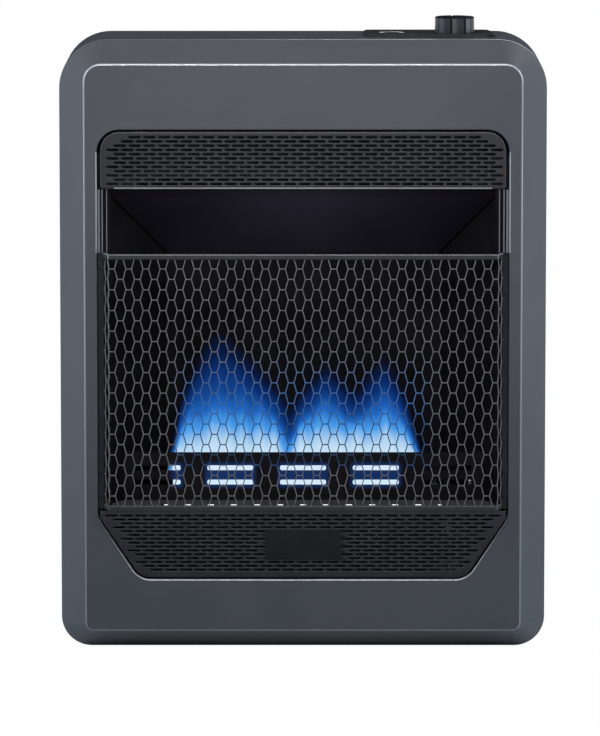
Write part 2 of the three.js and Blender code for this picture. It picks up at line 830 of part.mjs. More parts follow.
function guardFrames() {
  const inner = guardHalfWidth + guardSplay - sheet;
  const front = frontY + guardReturn + guardRailThickness / 2;
  const strip = box(inner, openingHalf - guardFrameGap, front, front + guardFrameDepth);
  const right = alongZ(strip, guardBottom, guardTop);
  return [
    piece('guard_frame_right', right, blackEnamel),
    piece('guard_frame_left', mirrored(right), blackEnamel),
  ];
}

function guardMesh() {
  const low = guardBottom + guardRailHeight + seat;
  const high = guardTop - guardRailHeight - seat;
  const net = body(alongZ(guardPlan(meshSetback, meshThickness), low, high));
  const through = (points) => alongY(points, frontY - overrun, frontY + guardReturn / 2);
  const halfFlat = meshCellFlat / 2;
  const halfWide = meshColumnPitch - halfFlat;
  const halfTall = meshCellHeight / 2;
  const cell = (x, z) => outline([
    [x - halfFlat, z - halfTall], [x + halfFlat, z - halfTall], [x + halfWide, z],
    [x + halfFlat, z + halfTall], [x - halfFlat, z + halfTall], [x - halfWide, z],
  ], -meshStrand / 2);
  const columns = Math.ceil(guardHalfWidth / meshColumnPitch);
  const rows = Math.ceil((high - low) / meshCellHeight);
  const cells = [];
  for (let column = -columns; column <= columns; column += 1) {
    for (let row = 0; row <= rows; row += 1) {
      const lift = column % 2 ? meshCellHeight / 2 : 0;
      cells.push(through(cell(column * meshColumnPitch, low + row * meshCellHeight + lift)));
    }
  }
  const window = body(through(box(-guardHalfWidth + meshEdge, guardHalfWidth - meshEdge,
    low + meshEdge / 2, high - meshEdge / 2)));
  const sideGaps = [];
  for (let row = 0; row < rows - 1; row += 1) {
    const z = low + (row + 3 / 4) * meshCellHeight;
    const gap = box(frontY + meshSetback + meshEdge, frontY + guardReturn - meshEdge,
      z - halfTall + meshStrand, z + halfTall - meshStrand);
    sideGaps.push(alongX(gap, guardHalfWidth - meshEdge, openingHalf));
    sideGaps.push(alongX(gap, -openingHalf, -guardHalfWidth + meshEdge));
  }
  const openCells = body(mergeGeometries(cells)).intersect(window);
  return piece('guard_mesh', shapeOf(cut(net, openCells, body(mergeGeometries(sideGaps)))),
    blackEnamel);
}

// Firebox side walls: a front flange behind the opening, a splayed wall and a rear flange
function fireboxSides() {
  const front = faceY + fireboxFrontDepth;
  const rear = faceY + fireboxDepth;
  const flangeOut = [openingHalf - seat, front];
  const flangeIn = [fireboxFrontHalf, front];
  const rearIn = [fireboxRearHalf, rear];
  const rearOut = [fireboxRearHalf + fireboxRearFlange, rear];
  const middle = [(fireboxRearHalf + fireboxFrontHalf) / 2, (rear + front) / 2];
  const flangeTop = openingTop - openingTopRadius - sheet;
  const wall = body(alongZ(folded([rearOut, rearIn, flangeIn], fireboxSheet),
    fireboxFoot, fireboxTop));
  const flange = body(alongZ(folded([middle, flangeIn, flangeOut], fireboxSheet),
    guardBottom, fireboxTop));
  const strip = body(alongZ(box(fireboxFrontHalf, openingHalf - seat, front, front + fireboxSheet),
    fireboxTop - overrun, flangeTop));
  const ahead = body(alongZ(box(0, openingHalf, faceY, front), 0, casingHeight));
  const side = cut(join(wall, flange, strip), ahead);
  const burnerHole = body(alongX(
    circle(burnerY, burnerHeight, burnerRadius + burnerHoleClearance), 0, halfWidth));
  return [
    piece('firebox_side_right', shapeOf(cut(side, burnerHole)), hotSteel),
    piece('firebox_side_left', mirrored(shapeOf(side)), hotSteel),
  ];
}

function fireboxBack() {
  const front = faceY + fireboxDepth + seat;
  const half = fireboxRearHalf + fireboxRearFlange;
  return piece('firebox_back', alongY(box(-half, half, fireboxFoot, fireboxTop),
    front, front + fireboxSheet), hotSteel);
}

// Half the inside width between the side walls, at a place along the depth
function fireboxHalfAt(depth) {
  const run = fireboxDepth - fireboxFrontDepth;
  const share = (depth - fireboxFrontDepth) / run;
  return fireboxFrontHalf + (fireboxRearHalf - fireboxFrontHalf) * share;
}

// Space between the side walls, with a seat gap, between two depths
function betweenSides(frontDepth, rearDepth, gap) {
  const front = fireboxHalfAt(Math.max(frontDepth, fireboxFrontDepth)) - gap;
  const rear = fireboxHalfAt(rearDepth) - gap;
  return [
    point(-front, faceY + frontDepth), point(front, faceY + frontDepth),
    point(front, faceY + Math.max(frontDepth, fireboxFrontDepth)),
    point(rear, faceY + rearDepth), point(-rear, faceY + rearDepth),
    point(-front, faceY + Math.max(frontDepth, fireboxFrontDepth)),
  ].filter((p, i, all) => i === 0 || p.distanceTo(all[i - 1]) > meltGap);
}

function deflectorHood() {
  const front = fireboxFrontDepth + fireboxSheet + seat;
  const rear = fireboxDepth;
  const section = folded([
    [faceY + front, hoodFront + hoodLip], [faceY + front, hoodFront], [faceY + rear, hoodRear],
  ], fireboxSheet);
  const inside = body(alongZ(betweenSides(front, rear, sideSeat), hoodRear - overrun,
    hoodFront + hoodLip + overrun));
  const hood = body(alongX(section, -openingHalf, openingHalf)).intersect(inside);
  return piece('deflector_hood', shapeOf(hood), hotSteel);
}

// Tray: the ledge behind the guard's foot steps down to the floor that carries the burner
function burnerTray() {
  const front = guardRailThickness + seat - guardProud;
  const rear = fireboxDepth;
  const section = folded([
    [faceY + front, trayLedge - fireboxSheet], [faceY + trayStepDepth, trayLedge - fireboxSheet],
    [faceY + trayStepDepth, trayFloor - fireboxSheet], [faceY + rear, trayFloor - fireboxSheet],
  ], fireboxSheet);
  const plan = body(alongZ(betweenSides(front, rear, sideSeat), trayFloor - overrun,
    trayLedge + overrun));
  const tray = body(alongX(section, -openingHalf, openingHalf)).intersect(plan);
  const through = (points) => alongZ(points, trayFloor - overrun, trayLedge + overrun);
  const slots = Array.from({ length: ledgeSlotCount }, (_, i) => {
    const x = (i - (ledgeSlotCount - 1) / 2) * ledgeSlotPitch;
    const y = faceY + ledgeSlotDepth;
    return through(box(x - ledgeSlotWidth / 2, x + ledgeSlotWidth / 2,
      y - ledgeSlotLength / 2, y + ledgeSlotLength / 2));
  });
  const window = through(box(pilotX - leadWindowWidth / 2, pilotX + leadWindowWidth / 2,
    pilotY - leadWindowDepth / 2 + sheet, pilotY + leadWindowDepth / 2 + sheet));
  return piece('burner_tray', shapeOf(cut(tray, body(mergeGeometries([...slots, window])))),
    hotSteel);
}

// Shield in front of the burner, with pairs of long slots that show the base of the flame
function burnerShield() {
  const low = trayLedge + seat;
  const front = faceY + shieldDepth;
  const half = fireboxHalfAt(shieldDepth) - sideSeat;
  const end = fireboxHalfAt(shieldDepth + shieldReturn) - sideSeat;
  const plan = folded([
    [end, front + shieldReturn], [half, front], [-half, front], [-end, front + shieldReturn],
  ], -sheet);
  const plate = body(alongZ(plan, low, low + shieldHeight));
  const slotLands = shieldSlotPitch - shieldSlotLength;
  const slotCount = Math.floor((2 * half + slotLands) / shieldSlotPitch);
  const slots = shieldSlotRows.flatMap((rise) =>
    Array.from({ length: slotCount }, (_, i) => {
      const x = (i - (slotCount - 1) / 2) * shieldSlotPitch;
      const z = trayLedge + rise;
      return alongY(box(x - shieldSlotLength / 2, x + shieldSlotLength / 2,
        z - shieldSlotHeight / 2, z + shieldSlotHeight / 2, shieldSlotHeight / 3, slotEndSteps),
      front - overrun, front + overrun);
    }));
  return piece('burner_shield', shapeOf(cut(plate, body(mergeGeometries(slots)))), hotSteel);
}

// Burner tube, closed at the left end, open at the air end, with slot ports along its top
function burner() {
  const tube = cut(
    body(alongX(circle(burnerY, burnerHeight, burnerRadius), burnerLeft, burnerRight)),
    body(alongX(circle(burnerY, burnerHeight, burnerRadius - burnerWall),
      burnerLeft + burnerWall, burnerRight + overrun)),
  );
  const pitch = (burnerPortRight - burnerPortLeft - burnerPortLength) / (burnerPortCount - 1);
  const ports = Array.from({ length: burnerPortCount }, (_, i) => {
    const x = burnerPortLeft + burnerPortLength / 2 + i * pitch;
    return alongZ(box(x - burnerPortLength / 2, x + burnerPortLength / 2,
      burnerY - burnerPortWidth / 2, burnerY + burnerPortWidth / 2),
    burnerHeight, burnerHeight + burnerRadius + overrun);
  });
  const saddle = (side) => {
    const x = saddleCentre + side * saddleSpread;
    const low = trayFloor + seat;
    const upright = cut(
      body(alongX(box(burnerY - saddleWidth / 2, burnerY + saddleWidth / 2, low, burnerHeight),
        x - saddleThickness / 2, x + saddleThickness / 2)),
      body(alongX(circle(burnerY, burnerHeight, burnerRadius + seat),
        x - overrun, x + overrun)),
    );
    const foot = body(alongZ(box(x - saddleThickness / 2, x + saddleFoot,
      burnerY - saddleWidth / 2, burnerY + saddleWidth / 2), low, low + saddleThickness));
    return shapeOf(join(upright, foot));
  };
  return [
    piece('burner_tube', shapeOf(cut(tube, body(mergeGeometries(ports)))), hotSteel),
    piece('burner_bracket_left', saddle(-1), zincSteel),
    piece('burner_bracket_right', saddle(1), zincSteel),
  ];
}

// Air shutter, injector, its bracket and its fitting, on the burner's axis
function burnerFeed() {
  const onAxis = (radius, left, right, sides) =>
    body(alongX(circle(burnerY, burnerHeight, radius, sides), left, right));
  const shutterInner = burnerRadius + seat;
  const shutterOuter = shutterInner + shutterWall;
  const shutterLeft = burnerRight - shutterLength;
  const shutter = cut(
    onAxis(shutterOuter, shutterLeft, burnerRight),
    onAxis(shutterInner, shutterLeft - overrun, burnerRight + overrun),
  );
  const plateLeftFace = burnerRight + injectorReach;
  const armInner = shutterOuter + seat;
  const armOuter = armInner + injectorPlate;
  const armRoot = plateLeftFace - injectorArm;
  const bracketPlan = folded([
    [armRoot, burnerY + armInner], [plateLeftFace, burnerY + armInner],
    [plateLeftFace, burnerY - armInner], [armRoot, burnerY - armInner],
  ], injectorPlate);
  const bracket = cut(
    body(alongZ(bracketPlan, burnerHeight - burnerRadius / 2, burnerHeight + burnerRadius / 2)),
    onAxis(injectorThread + spindleFit, plateLeftFace - overrun, plateLeftFace + overrun, smallSides),
    body(alongX(box(burnerY - armOuter, burnerY + armOuter, 0, casingHeight), 0,
      fireboxHalfAt(burnerDepth - armOuter) + saddleThickness)),
  );
  const nozzleTip = plateLeftFace - seat - injectorReach / 2;
  const threadEnd = plateLeftFace + injectorPlate + seat + injectorThread;
  const injector = cut(
    join(onAxis(injectorRadius, nozzleTip, plateLeftFace - seat, hexSides),
      onAxis(injectorThread, nozzleTip, threadEnd, smallSides)),
    onAxis(injectorBore, nozzleTip - overrun, threadEnd + overrun, hexSides),
  );
  const fittingLeft = plateLeftFace + injectorPlate + seat;
  const fitting = cut(
    onAxis(fittingRadius, fittingLeft, fittingLeft + fittingLength, hexSides),
    onAxis(injectorThread + spindleFit, fittingLeft - overrun, threadEnd + seat, smallSides),
    onAxis(injectorBore, fittingLeft, fittingLeft + fittingLength + overrun, hexSides),
  );
  return [
    piece('air_shutter', shapeOf(shutter), zincSteel),
    piece('injector_bracket', shapeOf(bracket), zincSteel),
    piece('injector', shapeOf(injector), brass),
    piece('burner_fitting', shapeOf(fitting), brass),
  ];
}

const burnerFittingEnd = burnerRight + injectorReach + injectorPlate + seat + fittingLength;

// Pilot: a bracket on the tray carries the pilot burner, the thermocouple and the electrode
function pilotGroup() {
  const low = trayFloor + seat;
  const left = pilotX - pilotPlateLength / 2;
  const right = pilotX + pilotPlateLength / 2;
  const section = folded([
    [left - pilotFootLength, low], [left, low], [left, pilotPlateHeight],
    [right, pilotPlateHeight],
  ], sheet);
  const front = pilotY - pilotPlateWidth / 2;
  const hole = (x, radius) => alongZ(circle(x, pilotY, radius + seat, smallSides),
    pilotPlateHeight - overrun, pilotPlateHeight + overrun);
  const bracket = cut(
    body(alongY(section, front, front + pilotPlateWidth)),
    body(mergeGeometries([
      hole(pilotX, pilotRadius), hole(pilotX + pilotSpacing, thermocoupleRadius),
      hole(pilotX - pilotSpacing, electrodeRadius),
    ])),
  );
  const top = pilotPlateHeight + sheet + seat;
  const tail = pilotPlateHeight - pilotTail;
  const pilotTop = pilotPlateHeight + pilotReach;
  const thermocoupleTop = pilotPlateHeight + thermocoupleReach;
  const electrodeCeramicTop = pilotPlateHeight + electrodeCeramicReach;
  const electrodeTop = pilotPlateHeight + electrodeReach;
  const burnerHead = turned([
    [0, tail], [pilotRadius, tail], [pilotRadius, top], [pilotRadius + pilotShoulder, top],
    [pilotRadius + pilotShoulder, top + pilotShoulder], [pilotRadius, top + pilotShoulder],
    [pilotRadius, pilotTop - pilotRadius], [pilotRadius / 2, pilotTop], [0, pilotTop],
  ], pilotX, pilotY, smallSides);
  const probe = turned([
    [0, tail], [thermocoupleRadius, tail], [thermocoupleRadius, top],
    [thermocoupleRadius + pilotShoulder, top],
    [thermocoupleRadius + pilotShoulder, top + pilotShoulder],
    [thermocoupleRadius, top + pilotShoulder],
    [thermocoupleRadius, thermocoupleTop - thermocoupleRadius],
    [0, thermocoupleTop],
  ], pilotX + pilotSpacing, pilotY, smallSides);
  const spark = turned([
    [0, tail], [electrodeRadius, tail], [electrodeRadius, top],
    [electrodeRadius + pilotShoulder, top],
    [electrodeRadius + pilotShoulder, top + pilotShoulder],
    [electrodeRadius, top + pilotShoulder], [electrodeRadius, electrodeCeramicTop],
    [electrodeTip, electrodeCeramicTop], [electrodeTip, electrodeTop], [0, electrodeTop],
  ], pilotX - pilotSpacing, pilotY, smallSides);
  return [
    piece('pilot_bracket', shapeOf(bracket), zincSteel),
    piece('pilot_burner', burnerHead, castAlloy),
    piece('thermocouple', probe, castAlloy),
    piece('spark_electrode', spark, ceramic),
  ];
}

// Moulded plate on the casing's top, dished round the knob and open round the igniter
function controlPlate() {
  const low = casingHeight + seat;
  const high = low + plateThickness;
  const plan = box(plateLeft, plateLeft + plateWidth, controlY - plateDepth / 2,
    controlY + plateDepth / 2, plateRadius);
  const plate = cut(
    body(alongZ(plan, low, high)),
    body(alongZ(circle(knobX, controlY, knobRadius + knobGap, fineSides), 0, high + overrun)),
    body(alongZ(circle(knobX, controlY, knobDishRadius, fineSides), high - knobDishDepth,
      high + overrun)),
    body(alongZ(circle(igniterX, controlY, igniterRecessRadius), 0, high + overrun)),
  );
  return piece('control_plate', shapeOf(plate), satinPlastic);
}

// Knob with a grip bar and a pointer; the pointer is at the back when the gas is off
function controlKnob() {
  const high = knobHeight;
  const inner = knobRadius - knobWall;
  const shell = turned([
    [spindleRadius + spindleFit, 0], [knobHubRadius, 0],
    [knobHubRadius, high - knobWall - knobEdge], [inner, high - knobWall - knobEdge],
    [inner, 0], [knobRadius, 0], [knobRadius - knobDraft, high - knobEdge],
    [knobRadius - knobDraft - knobEdge, high], [0, high],
    [0, knobHubTop], [spindleRadius + spindleFit, knobHubTop],
    [spindleRadius + spindleFit, 0],
  ], 0, 0, fineSides);
  const barReach = knobRadius + knobBarProud;
  const bar = body(alongZ(box(-knobBarWidth / 2, knobBarWidth / 2, -barReach, barReach),
    knobEdge, high - knobBarDrop)).intersect(
    body(alongZ(circle(0, 0, barReach, fineSides), 0, high)));
  const hollow = body(alongZ(circle(0, 0, inner, fineSides), -overrun, high - knobWall));
  const pointer = body(alongZ(box(-pointerWidth / 2, pointerWidth / 2,
    knobRadius - knobEdge - knobDraft - pointerLength, knobRadius - knobEdge - knobDraft),
  high - knobWall / 2, high + pointerHeight));
  const knob = join(body(shell), cut(bar, hollow), pointer);
  const turn = THREE.MathUtils.degToRad(knobTurnDegrees);
  return piece('control_knob',
    shapeOf(knob).rotateZ(turn).translate(knobX, controlY, knobBase - pointerHeight),
    glossPlastic);
}

// Gas valve on its hat bracket under the casing's top
function gasValve() {
  const hang = lidUnderside - seat;
  const section = folded([
    [knobX - valveBracketHalf - valveBracketFlange, hang - valveBracketSheet],
    [knobX - valveBracketHalf, hang - valveBracketSheet],
    [knobX - valveBracketHalf, bracketTop - valveBracketSheet],
    [knobX + valveBracketHalf, bracketTop - valveBracketSheet],
    [knobX + valveBracketHalf, hang - valveBracketSheet],
    [knobX + valveBracketHalf + valveBracketFlange, hang - valveBracketSheet],
  ], valveBracketSheet);
  const onAxis = (radius, low, high, sides) =>
    body(alongZ(circle(knobX, controlY, radius, sides), low, high));
  const bracket = cut(
    body(alongY(section, controlY - valveBracketDepth / 2, controlY + valveBracketDepth / 2)),
    onAxis(valveNeckRadius + spindleFit, bracketTop - overrun, bracketTop + overrun),
  );
  const neckTop = bracketTop + valveNutHeight;
  const valve = cut(
    join(
      body(alongZ(box(knobX - valveWidth / 2, knobX + valveWidth / 2,
        controlY - valveDepth / 2, controlY + valveDepth / 2), valveBottom, valveTop)),
      onAxis(valveNeckRadius, valveTop - overrun, neckTop),
    ),
    onAxis(valveBoreRadius, valveBottom + valveBoreFloor, valveTop - valveBoreRoof),
    onAxis(spindleRadius + spindleFit, valveTop - overrun, neckTop + overrun),
  );
  const nut = cut(
    onAxis(valveNutRadius, bracketTop + seat, neckTop, hexSides),
    onAxis(valveNeckRadius + spindleFit, bracketTop, neckTop + overrun),
  );
  return [
    piece('valve_bracket', shapeOf(bracket), zincSteel),
    piece('gas_valve', shapeOf(valve), castAlloy),
    piece('valve_nut', shapeOf(nut), brass),
  ];
}

// Inside the valve: a plunger that only slides, and a spindle that slides with it and turns
function valveInsides() {
  const floor = valveBottom + valveBoreFloor;
  const stemLow = floor + plungerFromFloor;
  const headLow = stemLow + plungerStem;
  const headHigh = headLow + plungerHeadHeight;
  const plunger = turned([
    [0, stemLow], [plungerRadius, stemLow], [plungerRadius, headLow],
    [spindleShoulderRadius, headLow], [spindleShoulderRadius, headHigh], [0, headHigh],
  ], knobX, controlY, smallSides);
  const foot = headHigh + seat;
  const shoulderTop = valveTop - valveBoreRoof - seat;
  const shoulderLow = shoulderTop - spindleShoulderHeight;
  const top = knobBase + spindleTop;
  const spindle = turned([
    [0, foot], [spindleRadius, foot], [spindleRadius, shoulderLow],
    [spindleShoulderRadius, shoulderLow], [spindleShoulderRadius, shoulderTop],
    [spindleRadius, shoulderTop], [spindleRadius, top], [0, top],
  ], knobX, controlY, smallSides);
  return [
    piece('valve_plunger', plunger, brass),
    piece('valve_spindle', spindle, brass),
  ];
}

// Piezo igniter: housing hung through the casing's top, ring nut and push button
function igniter() {
  const neckTop = casingHeight + igniterNeckProud;
  const flangeTop = lidUnderside - seat;
  const flangeLow = flangeTop - igniterFlangeHeight;
  const foot = flangeLow - igniterBodyLength;
  const bore = buttonRadius + buttonFit;
  const boreFloor = neckTop - igniterBoreLength;
  const housing = turned([
    [0, foot], [igniterBodyRadius, foot], [igniterBodyRadius, flangeLow],
    [igniterFlangeRadius, flangeLow], [igniterFlangeRadius, flangeTop],
    [igniterNeckRadius, flangeTop], [igniterNeckRadius, neckTop], [bore, neckTop],
    [bore, boreFloor], [0, boreFloor],
  ], igniterX, controlY);
  const nutLow = casingHeight + seat;
  const nut = turned([
    [igniterNeckRadius + seat, nutLow], [igniterNutRadius, nutLow],
    [igniterNutRadius, nutLow + igniterNutHeight],
    [igniterNeckRadius + seat, nutLow + igniterNutHeight], [igniterNeckRadius + seat, nutLow],
  ], igniterX, controlY);
  const buttonTop = neckTop + buttonProud;
  const button = turned([
    [0, buttonTop - buttonLength], [buttonRadius, buttonTop - buttonLength],
    [buttonRadius, buttonTop - buttonProud], [buttonRadius - buttonProud, buttonTop],
    [0, buttonTop],
  ], igniterX, controlY);
  return [
    piece('igniter_housing', housing, satinPlastic),
    piece('igniter_nut', nut, blackEnamel),
    piece('igniter_button', button, satinPlastic),
  ];
}

// Pressure regulator on its post, with the inlet fitting behind it
function gasInlet() {
  const x = regulatorX;
  const y = faceY + regulatorDepth;
  const low = regulatorHeight - regulatorThickness / 2;
  const high = regulatorHeight + regulatorThickness / 2;
  const rearPortEnd = y + regulatorRadius + portReach;
  const bodyShell = join(
    body(alongZ(circle(x, y, regulatorRadius, fineSides), low, high)),
    body(alongZ(circle(x, y, regulatorCapRadius), high - overrun, high + regulatorCapHeight)),
    body(alongX(circle(y, regulatorHeight, portRadius, smallSides), x, x + regulatorRadius + portReach)),
    body(alongY(circle(x, regulatorHeight, portRadius, smallSides), y, rearPortEnd)),
  );
  const panTop = sheet;
  const postTop = low - seat;
  const postFront = y - regulatorPostWidth / 2;
  const post = folded([
    [x - regulatorPostFoot, panTop + seat], [x, panTop + seat], [x, postTop - sheet],
    [x + regulatorPostFoot, postTop - sheet],
  ], sheet);
  const inlet = cut(
    body(alongY(circle(x, regulatorHeight, inletRadius, hexSides), rearPortEnd + seat,
      backY - inletRecess)),
    body(alongY(circle(x, regulatorHeight, pipeRadius, smallSides), rearPortEnd + overrun, backY)),
  );
  return [
    piece('regulator', shapeOf(bodyShell), castAlloy),
    piece('regulator_post', alongY(post, postFront, postFront + regulatorPostWidth), zincSteel),
    piece('inlet_fitting', shapeOf(inlet), brass),
  ];
}

// Gas pipes with their flare nuts, and the thin pilot pipe and leads
function gasPipes() {
  const lane = halfWidth - pipeLane;
  const valveRight = knobX + valveWidth / 2 + seat;
  const supplyY = controlY + supplyPortShift;
  const outletY = controlY - supplyPortShift;
  const supplyZ = valveBottom + supplyPortRise;
  const outletZ = valveBottom + burnerPortRise;
  const regulatorEnd = regulatorX + regulatorRadius + portReach + seat;
  const regulatorY = faceY + regulatorDepth;
  const nutX = (x, y, z) => body(alongX(circle(y, z, pipeNutRadius, hexSides), x, x + pipeNutLength));
  const supply = join(
    body(pipe([
      [regulatorEnd, regulatorY, regulatorHeight], [lane, regulatorY, regulatorHeight],
      [lane, supplyY, supplyZ], [valveRight, supplyY, supplyZ],
    ], pipeRadius, pipeBend)),
    nutX(regulatorEnd, regulatorY, regulatorHeight), nutX(valveRight, supplyY, supplyZ),
  );
  const burnerEnd = burnerFittingEnd + seat;
  const feed = join(
    body(pipe([
      [valveRight, outletY, outletZ], [lane, outletY, outletZ], [lane, outletY, burnerHeight],
      [lane, burnerY, burnerHeight], [burnerEnd, burnerY, burnerHeight],
    ], pipeRadius, pipeBend)),
    nutX(valveRight, outletY, outletZ), nutX(burnerEnd, burnerY, burnerHeight),
  );
  return [
    piece('supply_pipe', shapeOf(supply), zincSteel),
    piece('burner_pipe', shapeOf(feed), zincSteel),
  ];
}

function leads() {
  const tail = pilotPlateHeight - pilotTail - seat;
  const lane = halfWidth - leadLane;
  const ports = valveBottom - seat;
  const route = (startX, floorZ, laneDepth, crossZ, endX, endZ) => [
    [startX, pilotY, tail], [startX, pilotY, floorZ], [lane, faceY + laneDepth, floorZ],
    [lane, faceY + laneDepth, crossZ], [endX, controlY, crossZ], [endX, controlY, endZ],
  ];
  const pilotFloorHeight = trayFloor - pilotFloorDrop;
  const thermocoupleFloorHeight = trayFloor - thermocoupleFloorDrop;
  const ignitionFloorHeight = trayFloor - ignitionFloorDrop;
  const igniterFoot = lidUnderside - seat - igniterFlangeHeight - igniterBodyLength - seat;
  const pilotRoute = route(pilotX, pilotFloorHeight, pilotLaneDepth, ports - pilotCrossDrop,
    knobX + pilotValveShift, ports);
  const thermocoupleRoute = route(pilotX + pilotSpacing, thermocoupleFloorHeight,
    thermocoupleLaneDepth, ports - thermocoupleCrossDrop, knobX - thermocoupleValveShift, ports);
  const ignitionRoute = route(pilotX - pilotSpacing, ignitionFloorHeight, ignitionLaneDepth,
    ports - ignitionCrossDrop, igniterX, igniterFoot);
  return [
    piece('pilot_pipe', pipe(pilotRoute, pilotPipeRadius, leadBend, hexSides), castAlloy),
    piece('thermocouple_lead', pipe(thermocoupleRoute, thermocoupleLeadRadius, leadBend, hexSides),
      brass),
    piece('ignition_lead', pipe(ignitionRoute, ignitionLeadRadius, leadBend, hexSides), leadSleeve),
  ];
}

const heater = new THREE.Group();
heater.name = 'vent_free_heater';
heater.add(
  frontPanel(), cabinetWrap(), backPanel(), basePan(), ...screws(), upperGrille(), lowerGrille(),
  ...guardRails(), ...guardFrames(), guardMesh(), ...fireboxSides(), fireboxBack(),
  deflectorHood(), burnerTray(), burnerShield(), ...burner(), ...burnerFeed(), ...pilotGroup(),
  controlPlate(), controlKnob(), ...gasValve(), ...valveInsides(), ...igniter(), ...gasInlet(),
  ...gasPipes(), ...leads(),
);

export default heater;
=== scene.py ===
import math

import bmesh
import bpy
from mathutils import Matrix, Vector


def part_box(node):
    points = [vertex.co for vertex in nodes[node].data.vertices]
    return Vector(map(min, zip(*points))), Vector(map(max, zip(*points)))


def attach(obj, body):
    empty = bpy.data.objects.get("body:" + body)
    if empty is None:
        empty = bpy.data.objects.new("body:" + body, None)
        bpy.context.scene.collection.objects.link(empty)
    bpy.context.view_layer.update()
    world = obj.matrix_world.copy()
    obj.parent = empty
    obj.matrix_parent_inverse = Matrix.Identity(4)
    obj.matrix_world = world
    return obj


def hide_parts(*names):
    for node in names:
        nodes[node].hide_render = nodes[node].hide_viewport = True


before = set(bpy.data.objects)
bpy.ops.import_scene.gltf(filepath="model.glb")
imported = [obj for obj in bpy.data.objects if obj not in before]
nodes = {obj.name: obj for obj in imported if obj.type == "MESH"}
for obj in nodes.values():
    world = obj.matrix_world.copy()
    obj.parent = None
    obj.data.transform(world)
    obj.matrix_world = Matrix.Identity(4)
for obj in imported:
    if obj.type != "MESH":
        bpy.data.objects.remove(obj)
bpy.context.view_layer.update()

scene = bpy.context.scene
scene.view_settings.view_transform = "Standard"


# The viewpoint. A long lens on a tall tripod, far in front of the heater and looking slightly
# down on it, so the casing's top shows as a thin strip.
CAMERA_PLACE = (-0.003, -5.72667, 1.02715)
CAMERA_AIM = (-0.003, -0.0725, 0.28365)
CAMERA_LENS = 283.8
CAMERA_REACH = 200


def aimed(item, place, aim):
    """Adds a camera or a lamp to the scene at a place, pointing at its aim."""
    item.location = place
    item.rotation_mode = "QUATERNION"
    item.rotation_quaternion = (Vector(aim) - Vector(place)).to_track_quat("-Z", "Y")
    scene.collection.objects.link(item)


camera = bpy.data.objects.new("camera", bpy.data.cameras.new("camera"))
camera.data.lens = CAMERA_LENS
camera.data.clip_end = CAMERA_REACH
aimed(camera, CAMERA_PLACE, CAMERA_AIM)
scene.camera = camera


# The studio floor and surroundings. A pale matt floor that keeps the heater's shadow near it
# and runs out into plain white wherever the lens, or a glossy surface, looks at it.
FLOOR_RADIUS = 40
FLOOR_STEPS = 64
FLOOR_DROP = 0.0005
FLOOR_COLOUR = (0.74, 0.74, 0.75, 1)
FLOOR_FADE = (0.6, 2.2)
FLOOR_SEEN_SHARE = 0.98
ROOM_COLOUR = (0.93, 0.96, 1.0, 1)
ROOM_STRENGTH = 0.14
WHITE = (1, 1, 1, 1)


def supply(tree, node, inputs):
    """Sets inputs of a node, by name or number, to values, or links them to sockets."""
    for key, value in inputs.items():
        if isinstance(value, bpy.types.NodeSocket):
            tree.links.new(value, node.inputs[key])
        else:
            node.inputs[key].default_value = value
    return node


def add_node(tree, kind, inputs):
    """Adds a shader node of a kind and supplies its inputs."""
    return supply(tree, tree.nodes.new("ShaderNode" + kind), inputs)


def calculate(tree, operation, *values):
    """Gives the result of a Math node on sockets or numbers."""
    node = tree.nodes.new("ShaderNodeMath")
    node.operation = operation
    return supply(tree, node, dict(enumerate(values))).outputs[0]


def eased(tree, value, ends, results=(0, 1), easing="SMOOTHSTEP"):
    """Maps a socket from a pair of ends to a pair of results, smoothly or "LINEAR"."""
    node = add_node(tree, "MapRange", {
        "Value": value, "From Min": ends[0], "From Max": ends[1],
        "To Min": results[0], "To Max": results[1]})
    node.interpolation_type = easing
    return node.outputs["Result"]


def looked_at(tree):
    """Gives a socket that is 1 for rays of the lens, of gloss and of glass and 0 for others,
    and one that is 1 for rays of the lens alone."""
    rays = tree.nodes.new("ShaderNodeLightPath").outputs
    by_lens = rays["Is Camera Ray"]
    mirrored = calculate(tree, "MAXIMUM", rays["Is Glossy Ray"], rays["Is Transmission Ray"])
    return calculate(tree, "MAXIMUM", by_lens, mirrored), by_lens


def shared(tree, output, share, first, second):
    """Puts two shaders on an output, the second one by a share."""
    both = add_node(tree, "MixShader", {0: share, 1: first.outputs[0], 2: second.outputs[0]})
    supply(tree, tree.nodes[output], {"Surface": both.outputs[0]})


def moved(shape, way, points=None):
    """Moves a shape, or some of its points."""
    bmesh.ops.translate(shape, verts=points or shape.verts, vec=way)


world = bpy.data.worlds.new("studio")
scene.world = world
world.use_nodes = True
tree = world.node_tree
room = supply(tree, tree.nodes["Background"], {"Color": ROOM_COLOUR, "Strength": ROOM_STRENGTH})
shared(tree, "World Output", looked_at(tree)[0], room,
       add_node(tree, "Background", {"Color": WHITE}))

floor_paint = bpy.data.materials.new("studio_floor")
floor_paint.use_nodes = True
tree = floor_paint.node_tree
tree.nodes.remove(tree.nodes["Principled BSDF"])
distance = tree.nodes.new("ShaderNodeVectorMath")
distance.operation = "LENGTH"
supply(tree, distance, {0: tree.nodes.new("ShaderNodeTexCoord").outputs["Object"]})
any_look, by_lens = looked_at(tree)
far_off = calculate(tree, "MULTIPLY", any_look,
                    eased(tree, distance.outputs["Value"], FLOOR_FADE))
direct = calculate(tree, "MULTIPLY", by_lens, FLOOR_SEEN_SHARE)
shared(tree, "Material Output", calculate(tree, "MAXIMUM", far_off, direct),
       add_node(tree, "BsdfDiffuse", {"Color": FLOOR_COLOUR}),
       add_node(tree, "Emission", {"Color": WHITE}))

